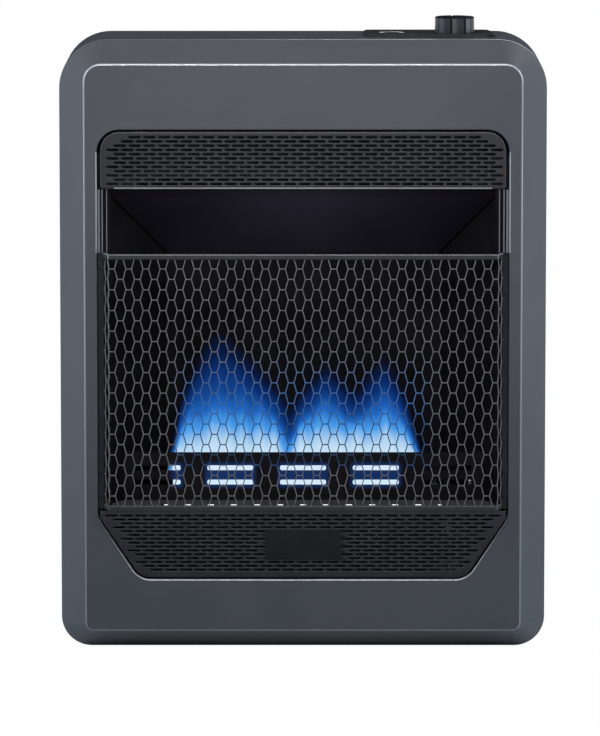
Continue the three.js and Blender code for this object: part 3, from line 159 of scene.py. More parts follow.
shape = bmesh.new()
bmesh.ops.create_circle(shape, cap_ends=True, segments=FLOOR_STEPS, radius=FLOOR_RADIUS)
moved(shape, (0, 0, -FLOOR_DROP))
mesh = bpy.data.meshes.new("floor")
shape.to_mesh(mesh)
shape.free()
mesh.materials.append(floor_paint)
floor = bpy.data.objects.new("floor", mesh)
scene.collection.objects.link(floor)


# The lamps: a broad softbox high in front, a tall one at each side that runs along the casing's
# bevels, and one at the rear for the back panel. Each has a place, an aim, a width and height,
# a power, a spread in degrees and a colour.
LAMPS = (
    ("front_box", (0, -1.38, 1.0), (0, -0.07, 0.46), (0.7, 0.35), 2.35, 60, (1, 0.99, 0.98)),
    ("left_box", (-1.75, -0.2, 0.85), (-0.24, 0, 0.45), (1.0, 1.5), 21.5, 180, (0.68, 0.83, 1)),
    ("right_box", (1.75, -0.2, 0.85), (0.24, 0, 0.45), (1.0, 1.5), 21.5, 180, (0.68, 0.83, 1)),
    ("rear_box", (0.6, 2.2, 1.4), (0, 0.08, 0.3), (1.4, 0.9), 40, 180, (1, 1, 1)),
)
for name, place, aim, (width, height), power, spread, colour in LAMPS:
    lamp = bpy.data.objects.new(name, bpy.data.lights.new(name, "AREA"))
    lamp.data.shape = "RECTANGLE"
    lamp.data.size = width
    lamp.data.size_y = height
    lamp.data.energy = power
    lamp.data.color = colour
    lamp.data.spread = math.radians(spread)
    aimed(lamp, place, aim)


# Front panel: one pressed steel sheet in charcoal enamel. Its face is flat, a deep bevel runs
# all round it to the rim, and the big opening's edge is turned back. Clipped over the casing.
PANEL_SHEET = 0.0012
BEVEL_DEPTH = 0.040
BEVEL_SIDE = 0.0254
BEVEL_FOOT = 0.0218
BEVEL_HEAD = 0.0212
RIM_RADII = (0.030, 0.048)
RIDGE_RADII = (0.008, 0.017)
RIDGE_ROUND = 0.0011
RIM_BAND = 0.0009
RIM_ROUND = 0.0003
OPENING_HALF = 0.202
OPENING_LOW = 0.0732
OPENING_HIGH = 0.5184
OPENING_RADII = (0.020, 0.022)
OPENING_CUT = (0.0402, 0.0624)
OPENING_FLANGE = 0.010
OPENING_ROUND = 0.0013
CORNER_STEPS = 14
SHARP_ANGLE = math.radians(35)
FORWARD, BACKWARD, UP, RIGHT = (0, -1, 0), (0, 1, 0), (0, 0, 1), (1, 0, 0)
GUARD_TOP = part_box("guard_top_rail")[1].z
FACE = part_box("front_panel")[0].y
RIM = FACE + BEVEL_DEPTH
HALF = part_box("cabinet_wrap")[1].x
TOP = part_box("cabinet_wrap")[1].z
TONE_STOPS = (0.3, 0.7)
DRIFT_DETAIL = 4
GRAIN_DETAIL = 3
ENAMEL = ((0.053, 0.059, 0.068), (0.062, 0.068, 0.077))
# Lighter, glossier enamel for the ridges' rounding: a painted highlight, full along the top ridge.
ENAMEL_HIGHLIGHT = ((0.30, 0.32, 0.35), (0.38, 0.40, 0.43))
OPENING_HIGHLIGHT = ((0.25, 0.26, 0.28), (0.30, 0.31, 0.33))
ENAMEL_SKIN = {"patch": 0.09, "gloss": (0.30, 0.36), "grain": 0.0011, "relief": 0.05}
HIGHLIGHT_SKIN = {"patch": 0.4, "gloss": (0.24, 0.28), "grain": 0.002, "relief": 0.005,
             "metallic": 0.35, "specular": 0.6}
HIGHLIGHT_BELOW_TOP = (0.028, 0.046)
HIGHLIGHT_LOW_SHARE = 0.5


def finish(name, tones, patch, gloss, grain, relief, metallic=0, specular=0.5):
    """A surface finish: two tones that drift over patches, and a grain in gloss and relief.

    patch and grain are sizes in metres, gloss is the lowest and highest roughness.
    """
    material = bpy.data.materials.new(name)
    material.use_nodes = True
    tree = material.node_tree
    place = tree.nodes.new("ShaderNodeTexCoord").outputs["Object"]
    drift = add_node(tree, "TexNoise", {
        "Vector": place, "Scale": 1 / patch, "Detail": DRIFT_DETAIL})
    fine = add_node(tree, "TexNoise", {
        "Vector": place, "Scale": 1 / grain, "Detail": GRAIN_DETAIL}).outputs["Fac"]
    tone = add_node(tree, "ValToRGB", {"Fac": drift.outputs["Fac"]})
    for stop, position, colour in zip(tone.color_ramp.elements, TONE_STOPS, tones):
        stop.position = position
        stop.color = (*colour, 1)
    bump = add_node(tree, "Bump", {"Distance": grain, "Strength": relief, "Height": fine})
    supply(tree, tree.nodes["Principled BSDF"], {
        "Metallic": metallic, "Specular IOR Level": specular, "Base Color": tone.outputs["Color"],
        "Roughness": eased(tree, fine, (0, 1), gloss, "LINEAR"), "Normal": bump.outputs["Normal"]})
    return material


def coordinates(tree, source):
    """Gives the X, Y and Z sockets of "Object" or "Normal" coordinates."""
    place = tree.nodes.new("ShaderNodeTexCoord")
    return add_node(tree, "SeparateXYZ", {0: place.outputs[source]}).outputs


def tinted(material, share, colour, way="MIX"):
    """Lays a colour, or a socket's value, over a finish's own tone by a share."""
    tree = material.node_tree
    shader = tree.nodes["Principled BSDF"]
    layer = tree.nodes.new("ShaderNodeMix")
    layer.data_type = "RGBA"
    layer.blend_type = way
    own = shader.inputs["Base Color"].links[0].from_socket
    supply(tree, layer, {"Factor": share, "A": own, "B": colour})
    supply(tree, shader, {"Base Color": layer.outputs["Result"]})


def darkened(material, source, axis, ends, share):
    """Dims a finish down to a share of its tone as the size of one coordinate goes from the
    first end to the second."""
    tree = material.node_tree
    size = calculate(tree, "ABSOLUTE", coordinates(tree, source)[axis])
    tinted(material, 1, eased(tree, size, ends, (1, share), "LINEAR"), "MULTIPLY")


def loop(shape, corners, y):
    """Adds the edges of an outline at depth y. corners are x, z and radius, in order round it."""
    before = set(shape.faces)
    points = [shape.verts.new((x, y, z)) for x, z, _ in corners]
    shape.faces.new(points)
    flat = [Vector((x, z)) for x, z, _ in corners]
    for i, point in enumerate(points):
        radius = corners[i][2]
        into = flat[i] - flat[i - 1]
        out = flat[(i + 1) % len(flat)] - flat[i]
        if radius:
            bmesh.ops.bevel(shape, geom=[point], offset=radius * math.tan(into.angle(out) / 2),
                            offset_type="OFFSET", segments=CORNER_STEPS, profile=0.5,
                            affect="VERTICES", material=-1)
    face = next(face for face in shape.faces if face not in before)
    edges = list(face.edges)
    shape.faces.remove(face)
    return edges


def filled(shape, edges, way):
    """Fills a flat sheet between loops of edges, facing a way."""
    bmesh.ops.triangle_fill(shape, use_beauty=True, edges=edges, normal=way)


def pulled(shape, edges, way):
    """Extrudes edges along a way and gives the new far edges."""
    fresh = bmesh.ops.extrude_edge_only(shape, edges=edges)["geom"]
    points = {item for item in fresh if isinstance(item, bmesh.types.BMVert)}
    moved(shape, way, list(points))
    return [item for item in fresh if isinstance(item, bmesh.types.BMEdge)
            and points.issuperset(item.verts)]


def rounded_off(shape, edges, width, steps=3, material=-1):
    """Rounds edges over a width."""
    bmesh.ops.bevel(shape, geom=edges, offset=width, offset_type="OFFSET", segments=steps,
                    profile=0.5, affect="EDGES", material=material)


def cut(shape, place, way, clear=False):
    """Cuts a shape along a plane through a place, and may clear the side that a way points to."""
    bmesh.ops.bisect_plane(shape, geom=shape.verts[:] + shape.edges[:] + shape.faces[:],
                           plane_co=place, plane_no=way, clear_outer=clear)


def outward(shape, way=None):
    """Turns the faces consistently. The largest one faces a way, or else away from x 0."""
    bmesh.ops.recalc_face_normals(shape, faces=shape.faces)
    largest = max(shape.faces, key=lambda face: face.calc_area())
    if largest.normal.dot(Vector(way or (largest.calc_center_median().x, 0, 0))) < 0:
        bmesh.ops.reverse_faces(shape, faces=shape.faces)


def made(name, shape, materials, stands_for=(), body="heater_body", wall=0):
    """Turns a finished bmesh into a piece of the heater."""
    mesh = bpy.data.meshes.new(name)
    shape.to_mesh(mesh)
    shape.free()
    mesh.polygons.foreach_set("use_smooth", [True] * len(mesh.polygons))
    mesh.set_sharp_from_angle(angle=SHARP_ANGLE)
    for material in materials:
        mesh.materials.append(material)
    piece = bpy.data.objects.new(name, mesh)
    scene.collection.objects.link(piece)
    if wall:
        solid = piece.modifiers.new("wall", "SOLIDIFY")
        solid.thickness = wall
        solid.offset = -1
        solid.use_even_offset = True
    weighted = piece.modifiers.new("flats", "WEIGHTED_NORMAL")
    weighted.keep_sharp = True
    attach(piece, body)
    if stands_for:
        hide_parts(*stands_for)


def casing_corners(grow=0):
    """The casing's outline from the front, larger by a margin on each side."""
    low, high = RIM_RADII
    return ((-HALF - grow, -grow, low + grow), (HALF + grow, -grow, low + grow),
            (HALF + grow, TOP + grow, high + grow), (-HALF - grow, TOP + grow, high + grow))


ridge_half, ridge_high = HALF - BEVEL_SIDE, TOP - BEVEL_HEAD
ridge_corners = (
    (-ridge_half, BEVEL_FOOT, RIDGE_RADII[0]), (ridge_half, BEVEL_FOOT, RIDGE_RADII[0]),
    (ridge_half, ridge_high, RIDGE_RADII[1]), (-ridge_half, ridge_high, RIDGE_RADII[1]))
cut_x, cut_z = OPENING_CUT
opening_corners = (
    (-OPENING_HALF + cut_x, OPENING_LOW, OPENING_RADII[0]),
    (OPENING_HALF - cut_x, OPENING_LOW, OPENING_RADII[0]),
    (OPENING_HALF, OPENING_LOW + cut_z, OPENING_RADII[0]),
    (OPENING_HALF, OPENING_HIGH, OPENING_RADII[1]),
    (-OPENING_HALF, OPENING_HIGH, OPENING_RADII[1]),
    (-OPENING_HALF, OPENING_LOW + cut_z, OPENING_RADII[0]))
enamel = finish("charcoal_enamel", ENAMEL, **ENAMEL_SKIN, specular=0.2)
# The ridges' rounding takes the lighter enamel as a painted highlight, dimmed to half below the top
# ridge.
enamel_highlight = finish("charcoal_enamel_highlight", ENAMEL_HIGHLIGHT, **HIGHLIGHT_SKIN)
darkened(enamel_highlight, "Object", "Z", [TOP - drop for drop in HIGHLIGHT_BELOW_TOP], HIGHLIGHT_LOW_SHARE)
# The opening's rounding takes a lighter enamel as a painted highlight.
opening_highlight = finish("charcoal_enamel_opening_highlight", OPENING_HIGHLIGHT, **HIGHLIGHT_SKIN)

shape = bmesh.new()
rim_edges = loop(shape, casing_corners(), RIM)
ridge_edges = loop(shape, ridge_corners, FACE)
bmesh.ops.bridge_loops(shape, edges=rim_edges + ridge_edges)
opening_edges = loop(shape, opening_corners, FACE)
filled(shape, ridge_edges + opening_edges, FORWARD)
pulled(shape, rim_edges, (0, RIM_BAND, 0))
pulled(shape, opening_edges, (0, OPENING_FLANGE, 0))
rounded_off(shape, ridge_edges, RIDGE_ROUND, steps=4, material=1)
rounded_off(shape, opening_edges, OPENING_ROUND, material=2)
rounded_off(shape, [edge for edge in rim_edges if edge.is_valid], RIM_ROUND, steps=2)
cut(shape, (0, 0, GUARD_TOP), UP)
outward(shape, FORWARD)
# The opening's painted highlight is kept off its sides beside the guard and off its rounded top.
for face in shape.faces:
    centre = face.calc_center_median()
    beside = abs(centre.x) > OPENING_HALF - OPENING_ROUND and centre.z < GUARD_TOP
    overhead = centre.z > OPENING_HIGH - OPENING_RADII[1]
    if face.material_index == 2 and (beside or overhead):
        face.material_index = 0
made("front_panel_shell", shape, (enamel, enamel_highlight, opening_highlight),
     ["front_panel"], wall=PANEL_SHEET)


# Casing shell: one enamelled sheet wrapped round the sides, the top and the lower corners. Its
# rear edge is rolled inward round the back panel, and its floor is open for the base pan.
WRAP_SEAM = 0.0006
WRAP_ROLL = 0.003
WRAP_LIP = 0.0006
WRAP_FLOOR_HALF = 0.17425
KNOB_HOLE = 0.022
IGNITER_HOLE = 0.0117
SCREW_HOLE = 0.0023
HOLE_STEPS = 40
FACING = 0.95    # the least part of its normal along the axis that a face looks along
LID = ((0.072, 0.076, 0.084), (0.082, 0.086, 0.095))
LID_NORMALS = (0.45, 0.02)
LID_SIDE_SHARE = 0.74
LID_SIDE_SPECULAR = 0.2
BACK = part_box("cabinet_wrap")[1].y


def middle(node):
    """The middle of a CAD node's box."""
    low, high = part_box(node)
    return (low + high) / 2


def flat_ring(shape, centre, z, radius, steps):
    """Adds a level circle of edges round a centre's x and y."""
    ring = bmesh.ops.create_circle(shape, segments=steps, radius=radius)["verts"]
    moved(shape, (centre.x, centre.y, z), ring)
    return list({edge for v in ring for edge in v.link_edges})


knob_at, igniter_at, screw_at = map(middle, ("control_knob", "igniter_button", "top_screw"))
shape = bmesh.new()
front_edges = loop(shape, casing_corners(), RIM + RIM_BAND + WRAP_SEAM)
back_edges = pulled(shape, front_edges, (0, BACK - RIM - RIM_BAND - WRAP_SEAM, 0))
lip_edges = loop(shape, casing_corners(-WRAP_ROLL - WRAP_LIP), BACK)
bmesh.ops.bridge_loops(shape, edges=back_edges + lip_edges)
rounded_off(shape, back_edges, WRAP_ROLL, steps=5)
shape.normal_update()
lid = max((face for face in shape.faces if abs(face.normal.z) > FACING
           and face.calc_center_median().z > TOP / 2), key=lambda face: face.calc_area())
lid_edges = list(lid.edges)
shape.faces.remove(lid)
for centre, radius in ((knob_at, KNOB_HOLE), (igniter_at, IGNITER_HOLE), (screw_at, SCREW_HOLE)):
    lid_edges += flat_ring(shape, centre, TOP, radius, HOLE_STEPS)
filled(shape, lid_edges, UP)
for side in (-1, 1):
    cut(shape, (side * WRAP_FLOOR_HALF, 0, 0), RIGHT)
under = [face for face in shape.faces if face.calc_center_median().z < PANEL_SHEET / 2
         and abs(face.calc_center_median().x) < WRAP_FLOOR_HALF
         and face.calc_center_median().y < BACK - WRAP_ROLL]
bmesh.ops.delete(shape, geom=under, context="FACES")
outward(shape)
# Faces that look up take the lid finish. Its tone is lighter than the enamel's as a painted sheen
# in place of the reflection it leaves out, and it dims back to the sides' tone as the faces turn to
# the sides.
for face in shape.faces:
    if face.normal.z > LID_NORMALS[1]:
        face.material_index = 1
enamel_lid = finish("charcoal_enamel_lid", LID, **ENAMEL_SKIN, specular=0)
darkened(enamel_lid, "Normal", "Z", LID_NORMALS, LID_SIDE_SHARE)
tree = enamel_lid.node_tree
gleam = eased(tree, coordinates(tree, "Normal")["Z"], LID_NORMALS, (0, LID_SIDE_SPECULAR),
              "LINEAR")
supply(tree, tree.nodes["Principled BSDF"], {"Specular IOR Level": gleam})
made("casing_shell", shape, (enamel, enamel_lid), ["cabinet_wrap"],
     wall=PANEL_SHEET)


# Back panel: enamelled sheet inside the casing's rolled edge. It has two keyholes for the wall's
# hooks, a hole for the gas inlet, and two rows of pressed louvres whose mouths face down.
BACK_GAP = 0.0042
BACK_FACE = BACK - 0.002
KEYHOLE_SPACING = 0.240
KEYHOLE_HIGH = TOP - 0.058
KEYHOLE_RADIUS = 0.005
KEYHOLE_NECK = 0.0025
KEYHOLE_RISE = 0.014
KEYHOLE_STEPS = (16, 8)
LOUVRE_LONG = 0.036
LOUVRE_HIGH = 0.004
LOUVRE_PITCH = 0.048
LOUVRE_COUNT = 7
LOUVRE_ROWS = (0.110, TOP - 0.110)
HOOD_PROUD = 0.0018
HOOD_OVER = 0.0022
HOOD_SLOPE = 0.0030
HOOD_ROUND = 0.0006
HOOD_SHEET = 0.0007
INLET_CLEAR = 0.0025
INLET_STEPS = 24
SCREW_COUNT = 6
SCREW_HOLE_STEPS = 12


def joined(shape, points, closed=True):
    """Joins points by edges, back to the first one if closed, and gives the edges."""
    row = [shape.verts.new(point) for point in points]
    return [shape.edges.new(pair) for pair in zip(row, row[1:] + (row[:1] if closed else []))]


def upright(shape, points, closed=True):
    """Joins x, z points at depth 0 by edges."""
    return joined(shape, [(x, 0, z) for x, z in points], closed)


def arc(x, z, radius, start, end, steps):
    """Points on an arc, with angles in degrees."""
    turns = [math.radians(start + (end - start) * i / steps) for i in range(steps + 1)]
    return [(x + radius * math.cos(t), z + radius * math.sin(t)) for t in turns]


def circle(centre, radius, steps):
    """Points round a full circle about a centre's x and z."""
    return arc(centre.x, centre.z, radius, 0, 360 - 360 / steps, steps - 1)


def block(shape, size, centre=(0, 0, 0)):
    """Adds a block and gives its points."""
    points = bmesh.ops.create_cube(shape, size=1)["verts"]
    bmesh.ops.scale(shape, verts=points, vec=size)
    moved(shape, centre, points)
    return points


inlet_low, inlet_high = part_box("inlet_fitting")
screws = [middle(f"back_screw_{number + 1}") for number in range(SCREW_COUNT)]
shape = bmesh.new()
edges = loop(shape, casing_corners(-BACK_GAP), 0)
neck = math.degrees(math.acos(KEYHOLE_NECK / KEYHOLE_RADIUS))
round_steps, neck_steps = KEYHOLE_STEPS
for x in (-KEYHOLE_SPACING / 2, KEYHOLE_SPACING / 2):
    edges += upright(
        shape, arc(x, KEYHOLE_HIGH, KEYHOLE_RADIUS, 180 - neck, 360 + neck, round_steps)
        + arc(x, KEYHOLE_HIGH + KEYHOLE_RISE, KEYHOLE_NECK, 0, 180, neck_steps))
louvres = [((number - (LOUVRE_COUNT - 1) / 2) * LOUVRE_PITCH, z)
           for z in LOUVRE_ROWS for number in range(LOUVRE_COUNT)]
half_long, half_high = LOUVRE_LONG / 2, LOUVRE_HIGH / 2
for x, z in louvres:
    edges += upright(shape, ((x - half_long, z - half_high), (x + half_long, z - half_high),
                             (x + half_long, z + half_high), (x - half_long, z + half_high)))
edges += upright(shape, circle(middle("inlet_fitting"),
                               (inlet_high.x - inlet_low.x) / 2 + INLET_CLEAR, INLET_STEPS))
for screw in screws:
    edges += upright(shape, circle(screw, SCREW_HOLE, SCREW_HOLE_STEPS))
filled(shape, edges, BACKWARD)
moved(shape, (0, BACK_FACE, 0))
outward(shape, BACKWARD)
made("back_sheet", shape, (enamel,), ["back_panel"], wall=PANEL_SHEET)
shape = bmesh.new()
for x, z in louvres:
    hood_y = BACK_FACE + HOOD_PROUD / 2
    for v in block(shape, (LOUVRE_LONG, HOOD_PROUD, LOUVRE_HIGH + HOOD_OVER * 2),
                   (x, hood_y, z)):
        if v.co.y > hood_y:
            v.co.x += math.copysign(HOOD_SLOPE / 2, x - v.co.x)
            v.co.z -= HOOD_SLOPE if v.co.z > z else 0
shape.normal_update()
mouths = [face for face in shape.faces if min(face.normal.z, face.normal.y) < -FACING]
bmesh.ops.delete(shape, geom=mouths, context="FACES")
rounded_off(shape, [edge for edge in shape.edges if not edge.is_boundary], HOOD_ROUND)
outward(shape, BACKWARD)
made("louvre_hoods", shape, (enamel,), wall=HOOD_SHEET)


# Perforated grilles: black enamelled sheet punched with staggered slots. The upper one stands in
# the opening over the hot air outlet, its lower edge rolled into a lip that catches the light.
SLOT_PITCH = 0.01448
SLOT_LONG = 0.0118
SLOT_HIGH = 0.0022
SLOT_STEPS = 10
SLOT_MERGE = SLOT_HIGH / 100
TRIM_MERGE = SLOT_HIGH / 6
TRIM_STEPS = 7
GRILLE_SHEET = 0.0012
GRILLE_FLANGE = 0.0028
GRILLE_ROUND = 0.0009
GRILLE_LIP_PROUD = 0.001
TURNED_DOWN = -0.1
LIP_THICKNESS = 0.0022
LIP_ROUND = 0.0005
LIP_END = 0.0136
LIP_HEIGHT = 0.0015
UPPER_ROW_PITCH = 0.004183
UPPER_ROW_HIGH = 0.5108
UPPER_ROW_SHIFT = 0.0016
UPPER_ROW_HALVES = (12, 12.5, 13, 13.5, 13, 13.5, 13, 13.5, 13, 13.5, 13, 13.5)
UPPER_RADIUS = 0.0188
UPPER_FOOT_RADIUS = 0.0022
BLACK = ((0.022, 0.022, 0.026), (0.030, 0.030, 0.035))
BLACK_HIGHLIGHT = ((0.17, 0.17, 0.18), (0.21, 0.21, 0.22))
DIM_HIGHLIGHT = ((0.070, 0.070, 0.076), (0.085, 0.085, 0.092))
BLACK_SKIN = {"patch": 0.03, "gloss": (0.42, 0.55), "grain": 0.0009, "relief": 0.12}
black_enamel = finish("black_enamel", BLACK, **BLACK_SKIN, specular=0.12)
# A lighter black for the upper rail's top and rounded edges and for the grille's lip, as a painted
# highlight.
black_highlight = finish("black_enamel_highlight", BLACK_HIGHLIGHT, patch=0.1, gloss=(0.35, 0.45), grain=0.002,
                    relief=0.02, specular=0.3)
# A dimmer lighter black for the grille's rounded outer edge and the lower rail's top and edges, as
# a painted highlight.
dim_highlight = finish("black_enamel_dim_highlight", DIM_HIGHLIGHT, patch=0.1, gloss=(0.4, 0.5), grain=0.002,
                   relief=0.02, specular=0.15)


def turned(shape, angle, axis, points=None):
    """Turns a shape, or some of its points, about an axis through the origin."""
    bmesh.ops.rotate(shape, verts=points or shape.verts, matrix=Matrix.Rotation(angle, 3, axis))


def repeated(shape, tile, places):
    """Adds a copy of a small bmesh at each place and frees it."""
    mesh = bpy.data.meshes.new("tile")
    tile.to_mesh(mesh)
    tile.free()
    at = Vector((0, 0, 0))
    for place in places:
        mesh.transform(Matrix.Translation(Vector(place) - at))
        at = Vector(place)
        shape.from_mesh(mesh)
    bpy.data.meshes.remove(mesh)


def slotted(shape, halves, pitch, high, patch_rows=(), patch_half=0):
    """Adds an upright sheet at y 0 with staggered rows of slots. halves holds half the number of
    slots of each row, high is the first row's height, and the patch is left plain."""
    def cell(hole):
        tile = bmesh.new()
        edges = upright(tile, [(x * SLOT_PITCH / 2, z * pitch / 2) for x, z in (
            (-1, -1), (0, -1), (1, -1), (1, 1), (0, 1), (-1, 1))])
        if hole:
            ring = bmesh.ops.create_circle(tile, segments=SLOT_STEPS, radius=SLOT_HIGH / 2)["verts"]
            turned(tile, math.pi / 2, "X", ring)
            for v in ring:
                v.co.x += math.copysign((SLOT_LONG - SLOT_HIGH) / 2, v.co.x)
            edges += list({edge for v in ring for edge in v.link_edges})
        filled(tile, edges, FORWARD)
        return tile

    count = math.ceil(max(halves)) + 1
    punched, plain = [], []
    for row in range(-2, len(halves) + 2):
        half = halves[min(max(row, 0), len(halves) - 1)] + (0.5 if row in (-1, len(halves)) else 0)
        for step in range(-count, count + 1):
            along = step + (0 if (2 * half) % 2 else 0.5)
            open_here = 0 <= row < len(halves) and abs(along) < half and not (
                row in patch_rows and abs(along) * SLOT_PITCH < patch_half)
            spot = (along * SLOT_PITCH, 0, high - row * pitch)
            (punched if open_here else plain).append(spot)
    repeated(shape, cell(True), punched)
    repeated(shape, cell(False), plain)
    bmesh.ops.remove_doubles(shape, verts=shape.verts, dist=SLOT_MERGE)


def trimmed(shape, corners):
    """Cuts an upright sheet to a convex outline of x, z and radius, in order round it."""
    flat = [Vector((x, z)) for x, z, _ in corners]
    ways = [(after - before).normalized() for before, after in zip(flat, flat[1:] + flat[:1])]
    normals = [Vector((way.y, -way.x)) for way in ways]
    for i, (x, z, radius) in enumerate(corners):
        first, last = normals[i - 1], normals[i]
        centre = flat[i] - (first + last) * (radius / (1 + first.dot(last)))
        steps = TRIM_STEPS if radius else 0
        for step in range(steps + 1):
            share = (step + 0.5) / steps if step < steps else 1
            normal = first.lerp(last, share).normalized()
            on = centre + normal * radius
            cut(shape, (on.x, 0, on.y), (normal.x, 0, normal.y), clear=True)
    bmesh.ops.remove_doubles(shape, verts=shape.verts, dist=TRIM_MERGE)


def outer_edges(shape):
    """The boundary edges joined to the lowest point, which leaves out those of the slots."""
    waiting = [min((v for v in shape.verts if v.is_boundary), key=lambda v: v.co.z)]
    found = set()
    while waiting:
        for edge in waiting.pop().link_edges:
            if edge.is_boundary and edge not in found:
                found.add(edge)
                waiting += edge.verts
    return list(found)


upper_low, upper_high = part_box("upper_grille")
shape = bmesh.new()
slotted(shape, UPPER_ROW_HALVES, UPPER_ROW_PITCH, UPPER_ROW_HIGH)
moved(shape, (UPPER_ROW_SHIFT, upper_low.y + GRILLE_LIP_PROUD, 0))
trimmed(shape, ((upper_low.x, upper_low.z, UPPER_FOOT_RADIUS),
                (upper_high.x, upper_low.z, UPPER_FOOT_RADIUS),
                (upper_high.x, upper_high.z, UPPER_RADIUS),
                (upper_low.x, upper_high.z, UPPER_RADIUS)))
outer = outer_edges(shape)
pulled(shape, outer, (0, GRILLE_FLANGE, 0))
rounded_off(shape, outer, GRILLE_ROUND, steps=2, material=1)
outward(shape, FORWARD)
# The grille's rounded outer edge is painted lighter as a highlight, except where it faces down.
for face in shape.faces:
    if face.normal.z < TURNED_DOWN:
        face.material_index = 0
made("upper_grille_sheet", shape, (black_enamel, dim_highlight), ["upper_grille"],
     wall=GRILLE_SHEET)
# The lip is all in the lighter black, as a painted highlight.
shape = bmesh.new()
block(shape, (upper_high.x * 2 - LIP_END * 2, LIP_THICKNESS, LIP_HEIGHT),
      (0, upper_low.y + LIP_THICKNESS / 2, upper_low.z + LIP_HEIGHT / 2))
rounded_off(shape, shape.edges[:], LIP_ROUND)
made("upper_grille_lip", shape, (black_highlight,))


# The lower grille leans back from the guard's foot to the panel and closes the opening's
# slanted corners with cheeks. A plain patch is left in the middle of its rows.
LOWER_ROW_PITCH = 0.00414
LOWER_ROW_FIRST = 0.00495
LOWER_ROW_HALVES = (13.5, 13, 12.5, 13, 12.5, 12, 12.5, 12, 11.5, 12, 11.5, 11, 11.5, 11, 10.5)
LOWER_TOP_SETBACK = 0.001
LOWER_FOOT_SETBACK = 0.003
LOWER_GAP = 0.0025
LOWER_CHEEK = 0.026
PATCH = ((0.0125, 0.0125, 0.0135), (0.017, 0.017, 0.019))
PATCH_ROWS = range(4, 12)
PATCH_HALF = 0.043
PATCH_EDGE = SLOT_PITCH / 4
lower_low, lower_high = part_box("lower_grille")
top_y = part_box("guard_top_rail")[0].y + LOWER_TOP_SETBACK
foot_y = FACE + LOWER_FOOT_SETBACK
lean = math.atan2(foot_y - top_y, lower_high.z - lower_low.z)
shape = bmesh.new()
slotted(shape, LOWER_ROW_HALVES, LOWER_ROW_PITCH, -LOWER_ROW_FIRST, PATCH_ROWS, PATCH_HALF)
turned(shape, lean, "X")
moved(shape, (0, top_y, lower_high.z))
slant = math.atan2(cut_z, cut_x)
foot_x = OPENING_HALF - cut_x - LOWER_GAP * math.tan(slant / 2)
knee_x = OPENING_HALF - LOWER_GAP
knee_z = OPENING_LOW + cut_z + LOWER_GAP * math.tan(math.pi / 4 - slant / 2)
foot_radius = OPENING_RADII[0] - LOWER_GAP
trimmed(shape, ((-foot_x, lower_low.z, foot_radius), (foot_x, lower_low.z, foot_radius),
                (knee_x, knee_z, 0), (knee_x, lower_high.z, 0),
                (-knee_x, lower_high.z, 0), (-knee_x, knee_z, 0)))
cheek_edges = [edge for edge in outer_edges(shape)
               if min(v.co.z for v in edge.verts) < lower_high.z - LOWER_GAP / 2]
pulled(shape, cheek_edges, (0, LOWER_CHEEK, 0))
for way in (BACKWARD, UP):
    cut(shape, lower_high, way, clear=True)
outward(shape, FORWARD)
patch_black = finish("plain_patch", PATCH, **BLACK_SKIN, specular=0.05)
for face in shape.faces:
    centre = face.calc_center_median()
    row = (lower_high.z - centre.z - LOWER_ROW_FIRST * math.cos(lean)) / (
        LOWER_ROW_PITCH * math.cos(lean))
    in_rows = PATCH_ROWS[0] - 0.5 < row < PATCH_ROWS[-1] + 0.5
    if in_rows and abs(centre.x) < PATCH_HALF - PATCH_EDGE:
        face.material_index = 1
made("lower_grille_sheet", shape, (black_enamel, patch_black), ["lower_grille"],
     wall=GRILLE_SHEET)


# Wire guard: hexagonal mesh that turns back at both ends, between two folded rails. Everything
# is black enamelled and is screwed to the firebox through the narrow frames at its sides; the
# wires' lighter grey tone is a painted sheen. The flames' blue light is painted on the wires
# before them, and painted shade darkens the wires before their bright foot.
MESH_SIDES = 6
MESH_PITCH = 0.008362
MESH_CELL = 0.02041
MESH_FLAT = 0.0054
MESH_STRAND = 0.0010
MESH_MERGE = MESH_STRAND / 10
MESH_WALL = 0.0008
MESH_COLUMN_AT = -0.1706
MESH_FLAT_AT = 0.34222
MESH_SETBACK = 0.001
GUARD_HALF = 0.191
GUARD_SPLAY = 0.0055
GUARD_RETURN = 0.014
RAIL_WALL = 0.003
RAIL_ROUND = 0.0007
# The wires' grey tone, lighter than their black enamel, is a painted sheen.
WIRE = ((0.084, 0.082, 0.085), (0.106, 0.104, 0.107))
FLAME_LIT = (0.030, 0.100, 0.26, 1)
FLAME_LIT_HIGH = (0.312, 0.250)
PAINTED_GLARE_SHADE = (0.004, 0.026, 0.075, 1)
GLARE_LOW = (0.182, 0.192)
GLARE_HIGH = (0.255, 0.215)
GLARE_ASIDE = (0.132, 0.112)
mesh_wire = finish("guard_wire", WIRE, patch=0.02, gloss=(0.38, 0.5), grain=0.0006, relief=0.1,
                   specular=0.3)
tree = mesh_wire.node_tree
xyz = coordinates(tree, "Object")
# Painted light and shade on the wires: blue light from the flames on those before them, and a
# darker shade on those before the flames' bright foot.
in_front = calculate(tree, "MULTIPLY", eased(tree, xyz["Z"], GLARE_LOW),
                     eased(tree, calculate(tree, "ABSOLUTE", xyz["X"]), GLARE_ASIDE))
for colour, ends in ((FLAME_LIT, FLAME_LIT_HIGH), (PAINTED_GLARE_SHADE, GLARE_HIGH)):
    tinted(mesh_wire, calculate(tree, "MULTIPLY", in_front, eased(tree, xyz["Z"], ends)), colour)

